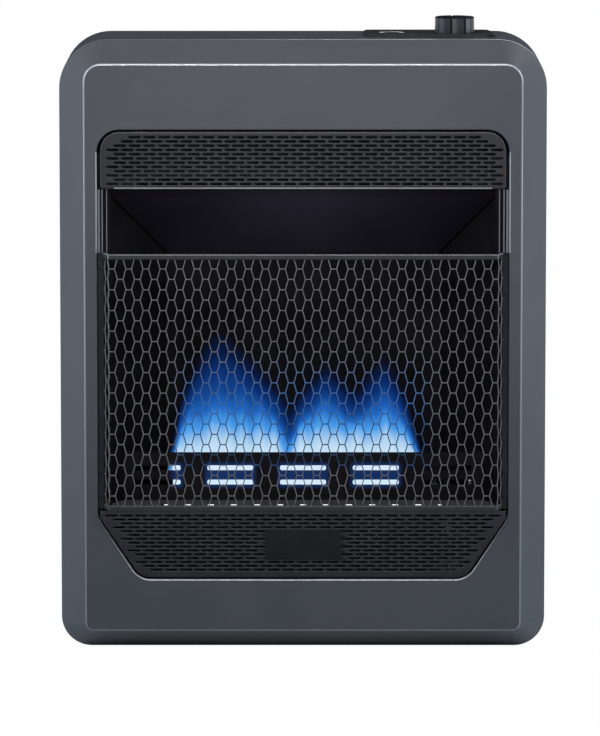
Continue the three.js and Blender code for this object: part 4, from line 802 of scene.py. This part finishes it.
rail_low, rail_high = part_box("guard_top_rail")
foot_low, foot_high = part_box("guard_bottom_rail")
mesh_low, mesh_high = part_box("guard_mesh")
guard_front = rail_low.y
fold = math.atan2(GUARD_RETURN, GUARD_SPLAY)
reach = GUARD_HALF + math.hypot(GUARD_RETURN, GUARD_SPLAY) - MESH_SETBACK
tile = bmesh.new()
hexagon = bmesh.ops.create_circle(tile, cap_ends=True, segments=MESH_SIDES, radius=1)["verts"]
turned(tile, math.pi / MESH_SIDES, "Z")
turned(tile, math.pi / 2, "X")
for v in hexagon:
    on_flat = abs(v.co.z) > abs(v.co.x)
    v.co.x = math.copysign(MESH_FLAT / 2 if on_flat else MESH_PITCH - MESH_FLAT / 2, v.co.x)
    v.co.z = math.copysign(MESH_CELL / 2, v.co.z) if on_flat else 0
places = []
for column in range(math.floor((-reach - MESH_COLUMN_AT) / MESH_PITCH),
                    math.ceil((reach - MESH_COLUMN_AT) / MESH_PITCH) + 1):
    start = MESH_FLAT_AT + (MESH_CELL if column % 2 else MESH_CELL / 2)
    for row in range(math.floor((mesh_low.z - start) / MESH_CELL),
                     math.ceil((mesh_high.z - start) / MESH_CELL) + 1):
        places.append((MESH_COLUMN_AT + column * MESH_PITCH, 0, start + row * MESH_CELL))
shape = bmesh.new()
repeated(shape, tile, places)
bmesh.ops.remove_doubles(shape, verts=shape.verts, dist=MESH_MERGE)
bmesh.ops.inset_individual(shape, faces=shape.faces[:], thickness=MESH_STRAND / 2,
                           use_even_offset=True)
openings = [face for face in shape.faces if len(face.verts) == MESH_SIDES]
bmesh.ops.delete(shape, geom=openings, context="FACES_ONLY")
for place, way in (((0, 0, mesh_low.z), (0, 0, -1)), ((0, 0, mesh_high.z), UP),
                   ((-reach, 0, 0), (-1, 0, 0)), ((reach, 0, 0), RIGHT)):
    cut(shape, place, way, clear=True)
for side in (-1, 1):
    bend = Vector((side * GUARD_HALF, 0, 0))
    cut(shape, bend, RIGHT)
    outside = [v for v in shape.verts if side * v.co.x > GUARD_HALF + MESH_MERGE / 10]
    bmesh.ops.rotate(shape, verts=outside, cent=bend,
                     matrix=Matrix.Rotation(side * fold, 3, "Z"))
moved(shape, (0, guard_front + MESH_SETBACK, 0))
outward(shape, FORWARD)
made("guard_mesh_wire", shape, (mesh_wire,), ["guard_mesh"], wall=MESH_WALL)


def guard_rail(name, low, high, edge_highlight, stands_for):
    """A folded strip along the guard's top or foot, with its top face and rounded edges, where they
    don't face down, in a lighter black as a painted highlight.
    """
    shape = bmesh.new()
    inner = RAIL_WALL * math.tan(fold / 2)
    end_x, end_y = GUARD_HALF + GUARD_SPLAY, guard_front + GUARD_RETURN
    turn_x, turn_y = RAIL_WALL * math.sin(fold), RAIL_WALL * math.cos(fold)
    plan = ((-end_x, end_y), (-GUARD_HALF, guard_front), (GUARD_HALF, guard_front),
            (end_x, end_y), (end_x - turn_x, end_y + turn_y),
            (GUARD_HALF - inner, guard_front + RAIL_WALL),
            (-GUARD_HALF + inner, guard_front + RAIL_WALL), (-end_x + turn_x, end_y + turn_y))
    face = shape.faces.new([shape.verts.new((x, y, low)) for x, y in plan])
    risen = bmesh.ops.extrude_face_region(shape, geom=[face])["geom"]
    moved(shape, (0, 0, high - low), [v for v in risen if isinstance(v, bmesh.types.BMVert)])
    bmesh.ops.recalc_face_normals(shape, faces=shape.faces)
    rounded_off(shape, shape.edges[:], RAIL_ROUND, material=1)
    for face in shape.faces:
        if face.normal.z > FACING:
            face.material_index = 1
        elif face.normal.z < TURNED_DOWN:
            face.material_index = 0
    made(name, shape, (black_enamel, edge_highlight), [stands_for])


guard_rail("guard_upper_rail", rail_low.z, rail_high.z, black_highlight, "guard_top_rail")
guard_rail("guard_lower_rail", foot_low.z, foot_high.z, dim_highlight, "guard_bottom_rail")


# Side frames of the guard: narrow folded channels in dull black enamel, painted darker than the
# other black parts as shade of the gap they stand in, each with four small tabs that hook into the
# firebox.
TAB_HEIGHT = 0.009
TAB_PROUD = 0.0016
TAB_PLACES = (0.012, 0.036, 0.212, 0.238)
FRAME = ((0.013, 0.013, 0.015), (0.019, 0.019, 0.022))
frame_enamel = finish("frame_enamel", FRAME, patch=0.03, gloss=(0.5, 0.6), grain=0.0009,
                      relief=0.12, specular=0.05)
for name in ("guard_frame_left", "guard_frame_right"):
    low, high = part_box(name)
    shape = bmesh.new()
    for bottom, top, front in [(low.z, high.z, low.y)] + [
            (low.z + at, low.z + at + TAB_HEIGHT, low.y - TAB_PROUD) for at in TAB_PLACES]:
        block(shape, (high.x - low.x, high.y - front, top - bottom),
              ((low.x + high.x) / 2, (high.y + front) / 2, (top + bottom) / 2))
    rounded_off(shape, shape.edges[:], RAIL_ROUND, steps=2)
    made(name + "_channel", shape, (frame_enamel,), [name])


# Firebox: heat-stained sheet steel. Splayed side walls, a rear wall, the hood that throws the
# hot air forward, and the tray whose front ledge lets light and air up through small slots.
HOT = ((0.0056, 0.0052, 0.0062), (0.0104, 0.0094, 0.0104))
HOT_SKIN = {"patch": 0.06, "gloss": (0.5, 0.7), "grain": 0.0014, "relief": 0.1}
HOOD = ((0.026, 0.022, 0.034), (0.036, 0.031, 0.045))
TRAY = ((0.056, 0.054, 0.058), (0.076, 0.073, 0.076))
FLANK_SHADE_SHARE = 0.6
FLANK_NORMALS = (0.1, 0.35)
LIP_SHADOW_SHARE = 0.35
LIP_NORMALS = (0.8, 0.95)
END_DARKENING_SHARE = 0.4
END_DARKENING_SPAN = (0.02, 0.17)
TRAY_FRONT_SHADE_SHARE = 0.08
TRAY_NORMALS = (0.4, 0.6)


def repaint(material, *names):
    """Gives CAD nodes a finish in place of the plain one they come with."""
    for name in names:
        nodes[name].data.materials.clear()
        nodes[name].data.materials.append(material)


hot_steel = finish("heat_stained_steel", HOT, **HOT_SKIN, specular=0)
hood_steel = finish("hood_steel", HOOD, patch=0.09, gloss=(0.55, 0.7), grain=0.0014,
                    relief=0.08, specular=0)
# The hood is painted darker as shade on faces that turn to the sides and as shadow on its
# forward-facing lip, and it grows darker towards its ends.
darkened(hood_steel, "Normal", "X", FLANK_NORMALS, FLANK_SHADE_SHARE)
darkened(hood_steel, "Normal", "Y", LIP_NORMALS, LIP_SHADOW_SHARE)
darkened(hood_steel, "Object", "X", END_DARKENING_SPAN, END_DARKENING_SHARE)
tray_steel = finish("tray_steel", TRAY, patch=0.04, gloss=(0.5, 0.65), grain=0.0012,
                    relief=0.1, specular=0.05)
# Forward-facing faces of the tray are painted dark as shade, so its lighter tone shows on its top
# only.
darkened(tray_steel, "Normal", "Y", TRAY_NORMALS, TRAY_FRONT_SHADE_SHARE)
repaint(hot_steel, "firebox_side_left", "firebox_side_right", "firebox_back", "burner_tube")
repaint(hood_steel, "deflector_hood")
repaint(tray_steel, "burner_tray")


# Seams where the hood's ends meet the side walls: a narrow gap, drawn as a near-black strip of
# painted shade, that shows as a slanted line at each end of the outlet.
SEAM_WIDE = 0.0027
SEAM_THICK = 0.0006
SEAM_HIGH = 0.4520
SEAM_REAR_HALF = 0.1369
SEAM_SHADE_TONES = ((0.0010, 0.0010, 0.0012), (0.0016, 0.0015, 0.0018))
seam_shade = finish("seam_shade", SEAM_SHADE_TONES, patch=0.02, gloss=(0.8, 0.9), grain=0.001,
                   relief=0.05, specular=0)
hood_low, hood_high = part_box("deflector_hood")
shape = bmesh.new()
for side in (-1, 1):
    ahead = Vector((side * hood_high.x, hood_low.y, SEAM_HIGH))
    behind = Vector((side * SEAM_REAR_HALF, hood_high.y, hood_low.z))
    seam = block(shape, (SEAM_WIDE, (behind - ahead).length, SEAM_THICK))
    bmesh.ops.rotate(shape, verts=seam,
                     matrix=(behind - ahead).to_track_quat("Y", "Z").to_matrix())
    moved(shape, (ahead + behind) / 2 - Vector((0, 0, SEAM_THICK)), seam)
made("hood_seams", shape, (seam_shade,))


# Front edges of the firebox's side walls, seen beside the outlet: a folded flange with two ribs
# that catch the light, in plan from the outside inward, in front of each splayed wall.
FLANGE_PLAN = (
    (0.2014, -0.0700), (0.1991, -0.0700), (0.1986, -0.0680), (0.1977, -0.0680),
    (0.1976, -0.0695), (0.1963, -0.0695), (0.1960, -0.0680), (0.1931, -0.0680),
    (0.1930, -0.0690), (0.1920, -0.0690), (0.1917, -0.0675))
FLANGE_TONES = ((0.105, 0.117, 0.134), (0.13, 0.145, 0.165))
FLANGE_VALLEY = 0.0685
FLANGE_HEAD = 0.4595
flange_steel = finish("flange_steel", FLANGE_TONES, patch=0.05, gloss=(0.35, 0.5), grain=0.001,
                      relief=0.05, specular=0.1)
shape = bmesh.new()
for side in (-1, 1):
    foot = joined(shape, [(side * x, y, GUARD_TOP) for x, y in FLANGE_PLAN], closed=False)
    pulled(shape, foot, (0, 0, FLANGE_HEAD - GUARD_TOP))
outward(shape, FORWARD)
# Only the ribs' proud forward faces take the light tone; all other faces are near black as painted
# shade.
for face in shape.faces:
    proud = face.calc_center_median().y < -FLANGE_VALLEY
    face.material_index = 0 if face.normal.y < -FACING and proud else 1
made("outlet_flanges", shape, (flange_steel, hot_steel))


# Painted light that comes up through the ledge's slots from under the burner: a strip of plate
# below the ledge, whose upper face glows.
LEDGE_GLOW = (0.93, 0.96, 1, 1)
LEDGE_GLOW_DROP = 0.0016
LEDGE_GLOW_SIZE = (0.274, 0.018, 0.0004)
UNLIT = (0, 0, 0, 1)


def glow(name, colour):
    """A finish that shines by itself and mirrors nothing."""
    material = bpy.data.materials.new(name)
    material.use_nodes = True
    tree = material.node_tree
    supply(tree, tree.nodes["Principled BSDF"], {
        "Base Color": UNLIT, "Specular IOR Level": 0, "Emission Color": colour,
        "Emission Strength": 1})
    return material


ledge_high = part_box("burner_tray")[1].z
shape = bmesh.new()
block(shape, LEDGE_GLOW_SIZE, (0, FACE, ledge_high - LEDGE_GLOW_DROP))
shape.normal_update()
for face in shape.faces:
    face.material_index = 0 if face.normal.z > FACING else 1
made("ledge_light", shape, (glow("ledge_glow", LEDGE_GLOW), hot_steel))


# Shield in front of the burner. Flame shows white through its long slots, and its blue light on
# the sheet round them is painted on as a glow, as far along as the burner is lit.
HALO_COLOUR = (0.0010, 0.022, 0.105, 1)
HALO_PITCH = 0.072
HALO_HALF = 0.0218
HALO_MIDDLE = 0.1733
HALO_HIGH = 0.009
HALO_REACH = 0.0058
LIT_SPAN = (-0.129, 0.113)
LIT_FADE = 0.005
shield_steel = finish("shield_steel", HOT, **HOT_SKIN, specular=0.03)
tree = shield_steel.node_tree
xyz = coordinates(tree, "Object")


def outside(size, half):
    """Gives how far a size lies beyond a half width."""
    beyond = calculate(tree, "SUBTRACT", calculate(tree, "ABSOLUTE", size), half)
    return calculate(tree, "POWER", calculate(tree, "MAXIMUM", beyond, 0), 2)


beside = outside(calculate(tree, "WRAP", xyz["X"], HALO_PITCH / 2, -HALO_PITCH / 2), HALO_HALF)
above = outside(calculate(tree, "SUBTRACT", xyz["Z"], HALO_MIDDLE), HALO_HIGH)
away = calculate(tree, "SQRT", calculate(tree, "ADD", beside, above))
left_end, right_end = LIT_SPAN
lit = calculate(tree, "MULTIPLY",
                eased(tree, xyz["X"], (left_end - LIT_FADE, left_end + LIT_FADE)),
                eased(tree, xyz["X"], (right_end + LIT_FADE, right_end - LIT_FADE)))
supply(tree, tree.nodes["Principled BSDF"], {
    "Emission Color": HALO_COLOUR,
    "Emission Strength": calculate(tree, "MULTIPLY", eased(tree, away, (HALO_REACH, 0)), lit)})
repaint(shield_steel, "burner_shield")


# Flames: thin sheets of burning gas that stand on the burner's ports, white at the root and
# deeper blue as they rise, in uneven tongues with a dip between the two groups.
FLAME_BASE = 0.190
FLAME_FOOT = 0.172
FLAME_PEAK = 0.318
FLAME_SOFT = 0.042
FLAME_EDGE_COOL = 0.45
FLAME_EDGE_CLEAR = (0, 0.7)
FLAME_OWN_SHARE = 0.3
FLAME_COLUMNS = 120
FLAME_ROWS = 24
FLAME_STREAK = (1 / 0.011, 1 / 0.02, 1 / 0.075)
STREAK_DETAIL = 3
STREAK_MIDDLE = 0.5
STREAK_DEPTH = 0.22
FLAME_LAYERS = ((0.0, 1.0, 1.0), (0.0075, 0.96, 0.93))
FLAME_TONGUES = (
    (-0.1345, 0.190), (-0.1290, 0.206), (-0.1222, 0.246), (-0.1142, 0.270), (-0.1040, 0.291),
    (-0.0943, 0.310), (-0.0826, 0.318), (-0.0735, 0.313), (-0.0638, 0.303), (-0.0470, 0.286),
    (-0.0304, 0.266), (-0.0190, 0.250), (-0.0140, 0.240), (-0.0080, 0.246), (-0.0030, 0.256),
    (0.0060, 0.266), (0.0139, 0.275), (0.0218, 0.286), (0.0330, 0.276), (0.0420, 0.264),
    (0.0500, 0.258), (0.0566, 0.260), (0.0680, 0.278), (0.0814, 0.294), (0.0943, 0.270),
    (0.1040, 0.248), (0.1110, 0.222), (0.1155, 0.204), (0.1200, 0.190))
FLAME_GAP_AT = -0.0145
FLAME_GAP_HALF = 0.011
FLAME_GAP_COOL = 0.20
FLAME_HEAT = (
    (0.00, (0.59, 0.78, 0.96, 1)), (0.09, (0.44, 0.66, 0.87, 1)), (0.23, (0.07, 0.34, 0.83, 1)),
    (0.37, (0.014, 0.13, 0.52, 1)), (0.50, (0.007, 0.062, 0.28, 1)),
    (0.68, (0.0035, 0.028, 0.16, 1)), (1.00, (0.002, 0.010, 0.055, 1)))


def flame_height(x):
    """The height of the tongues' tips at x."""
    for (left, low), (right, high) in zip(FLAME_TONGUES, FLAME_TONGUES[1:]):
        if left <= x <= right:
            return low + (high - low) * ((x - left) / (right - left))
    return FLAME_BASE


burner_y = middle("burner_tube").y
flame = glow("flame", WHITE)
tree = flame.node_tree
rise = tree.nodes.new("ShaderNodeUVMap")
rise.uv_map = "flame_rise"
height, under = add_node(tree, "SeparateXYZ", {0: rise.outputs["UV"]}).outputs[:2]
stretched = tree.nodes.new("ShaderNodeVectorMath")
stretched.operation = "MULTIPLY"
supply(tree, stretched, {
    0: tree.nodes.new("ShaderNodeTexCoord").outputs["Object"], 1: FLAME_STREAK})
streaks = add_node(tree, "TexNoise", {
    "Vector": stretched.outputs["Vector"], "Scale": 1, "Detail": STREAK_DETAIL})
uneven = calculate(tree, "MULTIPLY", STREAK_DEPTH,
                   calculate(tree, "SUBTRACT", streaks.outputs["Fac"], STREAK_MIDDLE))
beyond = calculate(tree, "MAXIMUM", calculate(tree, "SUBTRACT", 1, under), 0)
cooler = calculate(tree, "MULTIPLY", beyond, FLAME_EDGE_COOL)
heat = add_node(tree, "ValToRGB", {
    "Fac": calculate(tree, "ADD", height, calculate(tree, "ADD", uneven, cooler))})
ramp = heat.color_ramp
for position, colour in FLAME_HEAT[1:-1]:
    ramp.elements.new(position)
for stop, (position, colour) in zip(ramp.elements, FLAME_HEAT):
    stop.color = colour
supply(tree, tree.nodes["Principled BSDF"], {
    "Emission Color": heat.outputs["Color"],
    "Alpha": eased(tree, calculate(tree, "ADD", under, uneven), FLAME_EDGE_CLEAR)})

flame_left, flame_right = FLAME_TONGUES[0][0], FLAME_TONGUES[-1][0]
for number, (back, wide, tall) in enumerate(FLAME_LAYERS):
    shape = bmesh.new()
    bmesh.ops.create_grid(shape, x_segments=FLAME_COLUMNS, y_segments=FLAME_ROWS, size=0.5)
    layer = shape.loops.layers.uv.new("flame_rise")
    for v in shape.verts:
        x = flame_left + (flame_right - flame_left) * (v.co.x + 0.5)
        z = FLAME_FOOT + (flame_height(x) - FLAME_FOOT) * (v.co.y + 0.5)
        v.co = Vector((x, 0, z))
    for corner in (corner for face in shape.faces for corner in face.loops):
        x, _, z = corner.vert.co
        own = (z - FLAME_BASE) / max(flame_height(x) - FLAME_BASE, FLAME_SOFT)
        common = (z - FLAME_BASE) / (FLAME_PEAK - FLAME_BASE)
        risen = FLAME_OWN_SHARE * own + (1 - FLAME_OWN_SHARE) * common
        gap = max(0, 1 - abs(x - FLAME_GAP_AT) / FLAME_GAP_HALF) * FLAME_GAP_COOL
        corner[layer].uv = (max(0, risen) + gap, (flame_height(x) - z) / FLAME_SOFT)
    bmesh.ops.scale(shape, verts=shape.verts, vec=(wide, 1, tall),
                    space=Matrix.Translation((0, 0, -FLAME_BASE)))
    moved(shape, (0, burner_y + back, 0))
    made(f"flame_{number + 1}", shape, (flame,))


# Root of the flames: a short sheet of the hottest gas right behind the shield, which shows
# white through its slots.
ROOT_GLOW = (0.66, 0.82, 0.96, 1)
ROOT_LOW = 0.154
ROOT_HIGH = 0.189
ROOT_FORWARD = 0.016
ROOT_WALL = 0.0004
shape = bmesh.new()
block(shape, (right_end - left_end, ROOT_WALL, ROOT_HIGH - ROOT_LOW),
      ((left_end + right_end) / 2, burner_y - ROOT_FORWARD, (ROOT_LOW + ROOT_HIGH) / 2))
made("flame_root", shape, (glow("flame_root", ROOT_GLOW),))


# Burner feed, pilot and gas line: brass fittings, zinc-plated brackets and pipes, die-cast
# bodies, a ceramic electrode and a sleeved lead. Each finish has its tones, patch, gloss, grain,
# relief, metallic and specular, and the nodes that have it.
GAS_LINE = (
    ("zinc_plate", ((0.34, 0.35, 0.36), (0.46, 0.46, 0.45)),
     0.012, (0.32, 0.5), 0.0012, 0.08, 0.9, 0.5,
     ("base_pan", "burner_bracket_left", "burner_bracket_right", "air_shutter",
      "injector_bracket", "valve_bracket", "regulator_post", "supply_pipe", "burner_pipe")),
    ("brass", ((0.42, 0.27, 0.10), (0.55, 0.37, 0.15)),
     0.010, (0.25, 0.4), 0.0008, 0.06, 1, 0.5,
     ("injector", "burner_fitting", "valve_nut", "valve_plunger", "valve_spindle",
      "inlet_fitting")),
    ("die_cast", ((0.28, 0.28, 0.29), (0.38, 0.38, 0.38)),
     0.008, (0.45, 0.62), 0.0009, 0.35, 0.7, 0.5,
     ("gas_valve", "regulator", "pilot_pipe")),
    ("sooted_metal", ((0.012, 0.012, 0.013), (0.030, 0.029, 0.030)),
     0.006, (0.5, 0.7), 0.0007, 0.2, 0.3, 0.1,
     ("pilot_bracket", "pilot_burner", "thermocouple")),
    ("dull_copper", ((0.085, 0.050, 0.026), (0.12, 0.072, 0.038)),
     0.008, (0.45, 0.6), 0.0008, 0.1, 0.8, 0.5, ("thermocouple_lead",)),
    ("ceramic", ((0.055, 0.052, 0.046), (0.085, 0.080, 0.072)),
     0.006, (0.35, 0.5), 0.0006, 0.05, 0, 0.5, ("spark_electrode",)),
    ("lead_sleeve", ((0.030, 0.028, 0.028), (0.042, 0.040, 0.040)),
     0.005, (0.55, 0.75), 0.0007, 0.3, 0, 0.2, ("ignition_lead",)),
)
metals = {}
for name, tones, patch, gloss, grain, relief, metallic, specular, parts in GAS_LINE:
    metals[name] = finish(name, tones, patch, gloss, grain, relief, metallic, specular)
    repaint(metals[name], *parts)
repaint(black_enamel, "igniter_nut")


# Screws: pan heads with a cross recess. Six zinc-plated ones hold the back panel and a blackened
# one holds the control plate's bracket.
SCREW_SEAT = 0.0001
SCREW_HEAD = 0.0038
SCREW_HEAD_HIGH = 0.0019
SCREW_NEAR = SCREW_HEAD_HIGH / 100
SCREW_SHANK = 0.0020
SCREW_LENGTH = 0.0068
SCREW_STEPS = 24
SCREW_DOME_SHARES = ((1, 0), (1, 0.45), (0.93, 0.72), (0.78, 0.9), (0.6, 1))
RECESS_ARM = 0.0019
RECESS_HALF = 0.00042
RECESS_DEEP = 0.0010
blackened = finish("blackened_screw", BLACK, patch=0.02, gloss=(0.5, 0.6), grain=0.0008,
                   relief=0.1, specular=0)


def lathed(shape, profile, steps):
    """Spins a profile of radii and heights into a round body."""
    edges = upright(shape, profile, closed=False)
    bmesh.ops.spin(shape, geom=shape.verts[:] + edges, cent=(0, 0, 0), axis=UP,
                   angle=math.tau, steps=steps, use_merge=True)


def pan_screw(name, seat, lying, material):
    """A screw whose head sits on a place, pointing down, or forward when it is lying."""
    shape = bmesh.new()
    lathed(shape, [(SCREW_SHANK, -SCREW_LENGTH), (SCREW_SHANK, 0)] + [
        (SCREW_HEAD * r, SCREW_HEAD_HIGH * z) for r, z in SCREW_DOME_SHARES], SCREW_STEPS)
    rim = [edge for edge in shape.edges
           if all(abs(v.co.z - SCREW_HEAD_HIGH) < SCREW_NEAR for v in edge.verts)]
    a, b = RECESS_HALF, RECESS_ARM
    cross = joined(shape, [(x, y, SCREW_HEAD_HIGH) for x, y in (
        (a, a), (b, a), (b, -a), (a, -a), (a, -b), (-a, -b),
        (-a, -a), (-b, -a), (-b, a), (-a, a), (-a, b), (a, b))])
    filled(shape, rim + cross, UP)
    filled(shape, pulled(shape, cross, (0, 0, -RECESS_DEEP)), UP)
    bmesh.ops.recalc_face_normals(shape, faces=shape.faces)
    if lying:
        turned(shape, -math.pi / 2, "X")
    moved(shape, seat)
    made(name + "_head", shape, (material,), [name])


for number, screw in enumerate(screws, 1):
    pan_screw(f"back_screw_{number}", (screw.x, BACK_FACE + SCREW_SEAT, screw.z), True,
              metals["zinc_plate"])
pan_screw("top_screw", (screw_at.x, screw_at.y, TOP + SCREW_SEAT), False, blackened)


# Control plate: a moulded cover on the casing's top. It is dished round the knob and open round
# the igniter, with tight corners at its left end and wide ones at its right end.
PLATE_RADII = (0.007, 0.020)
PLATE_BACK_RADIUS = 0.006
PLATE_SLANT = 0.006
PLATE_ROUND = 0.0008
DISH_RIM = 0.0285
DISH_FOOT = 0.0220
DISH_STEPS = 48
IGNITER_RING = 0.0138
COVER = ((0.036, 0.035, 0.037), (0.045, 0.044, 0.046))
COVER_SKIN = {"patch": 0.02, "gloss": (0.4, 0.5), "grain": 0.0006, "relief": 0.15,
              "specular": 0}
cover = finish("cover_plastic", COVER, **COVER_SKIN)
low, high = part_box("control_plate")
tight, wide = PLATE_RADII
shape = bmesh.new()
around = loop(shape, ((low.x, -high.y, tight), (high.x - PLATE_SLANT, -high.y, PLATE_BACK_RADIUS),
                      (high.x, -low.y, wide), (low.x, -low.y, tight)), high.z)
turned(shape, math.pi / 2, "X")
dish = flat_ring(shape, knob_at, high.z, DISH_RIM, DISH_STEPS)
well = flat_ring(shape, igniter_at, high.z, IGNITER_RING, DISH_STEPS)
filled(shape, around + dish + well, UP)
foot = flat_ring(shape, knob_at, low.z, DISH_FOOT, DISH_STEPS)
bmesh.ops.bridge_loops(shape, edges=dish + foot)
for edges in (around, well):
    pulled(shape, edges, (0, 0, low.z - high.z))
rounded_off(shape, around + well + dish, PLATE_ROUND)
outward(shape, UP)
made("control_cover", shape, (cover,), ["control_plate"])


# Control knob: a glossy moulded cup with a grip bar across it, level with its rim. Two grooves
# run down the wall beside the bar's front end, and a white pointer marks its rear end. The
# igniter's button and housing beside it are satin plastic.
KNOB_STEPS = 96
KNOB_EDGE = 0.0009
KNOB_CUP = 0.011
KNOB_RIM = ((0.0004, 0.00126), (0.00076, 0.00036), (0.0013, 0), (0.0025, 0),
            (0.00282, KNOB_CUP))
KNOB_TOP_NORMAL = 0.3
BAR_WIDE = 0.0149
BAR_INSET = 0.0024
BAR_TURN = math.radians(-9)
GROOVE_DEEP = 0.0012
GROOVE_SPAN = math.tau / KNOB_STEPS
GROOVE_SIDE = 0.0001
GROOVE_DROP = 0.0018
POINTER = (0.0013, 0.0062, 0.0002)
POINTER_INSET = 0.0032
POINTER_SUNK = 0.00008
SATIN = ((0.020, 0.020, 0.022), (0.027, 0.027, 0.030))
GLOSSY = ((0.008, 0.008, 0.013), (0.011, 0.011, 0.017))
KNOB_TOP = ((0.016, 0.016, 0.019), (0.022, 0.022, 0.026))
PAINT = ((0.78, 0.78, 0.77), (0.84, 0.84, 0.83))
satin = finish("satin_plastic", SATIN, **COVER_SKIN)
glossy = finish("gloss_plastic", GLOSSY, patch=0.02, gloss=(0.28, 0.34), grain=0.0010,
                relief=0.02, specular=0.36)
knob_top = finish("knob_top", KNOB_TOP, patch=0.02, gloss=(0.4, 0.5), grain=0.0006,
                  relief=0.1, specular=0)
paint = finish("pointer_paint", PAINT, patch=0.004, gloss=(0.4, 0.5), grain=0.0005, relief=0.05)
low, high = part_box("control_knob")
radius = (high.x - low.x) / 2
shape = bmesh.new()
lathed(shape, [(0, low.z), (radius, low.z)] + [
    (radius - inset, high.z - drop) for inset, drop in KNOB_RIM] + [(0, high.z - KNOB_CUP)],
    KNOB_STEPS)
bmesh.ops.recalc_face_normals(shape, faces=shape.faces)
front = -math.pi / 2 - BAR_TURN
aside = math.asin(BAR_WIDE / 2 / radius)
grooves = []
for face in shape.faces:
    centre = face.calc_center_median()
    if math.hypot(centre.x, centre.y) > radius - KNOB_EDGE and high.z - centre.z > GROOVE_DROP:
        turn = math.atan2(centre.y, centre.x) - front
        if min(abs(turn - aside), abs(turn + aside)) < GROOVE_SPAN and centre.y < 0:
            grooves.append(face)
bmesh.ops.inset_region(shape, faces=grooves, thickness=GROOVE_SIDE, depth=-GROOVE_DEEP)
for face in shape.faces:
    face.material_index = 1 if face.normal.z > KNOB_TOP_NORMAL or face in grooves else 0
bar = block(shape, (BAR_WIDE, 2 * (radius - BAR_INSET), KNOB_CUP), (0, 0, high.z - KNOB_CUP / 2))
turned(shape, -BAR_TURN, "Z", bar)
bar_faces = {face for v in bar for face in v.link_faces}
for face in bar_faces:
    face.material_index = 1
rounded_off(shape, list({edge for face in bar_faces for edge in face.edges}), KNOB_EDGE)
mark = block(shape, POINTER, (0, radius - POINTER_INSET - POINTER[1] / 2, high.z - POINTER_SUNK))
turned(shape, -BAR_TURN, "Z", mark)
for face in {face for v in mark for face in v.link_faces}:
    face.material_index = 2
moved(shape, (knob_at.x, knob_at.y, 0))
made("knob_cap", shape, (glossy, knob_top, paint), ["control_knob"],
     body="control_knob")
repaint(satin, "igniter_housing", "igniter_button")
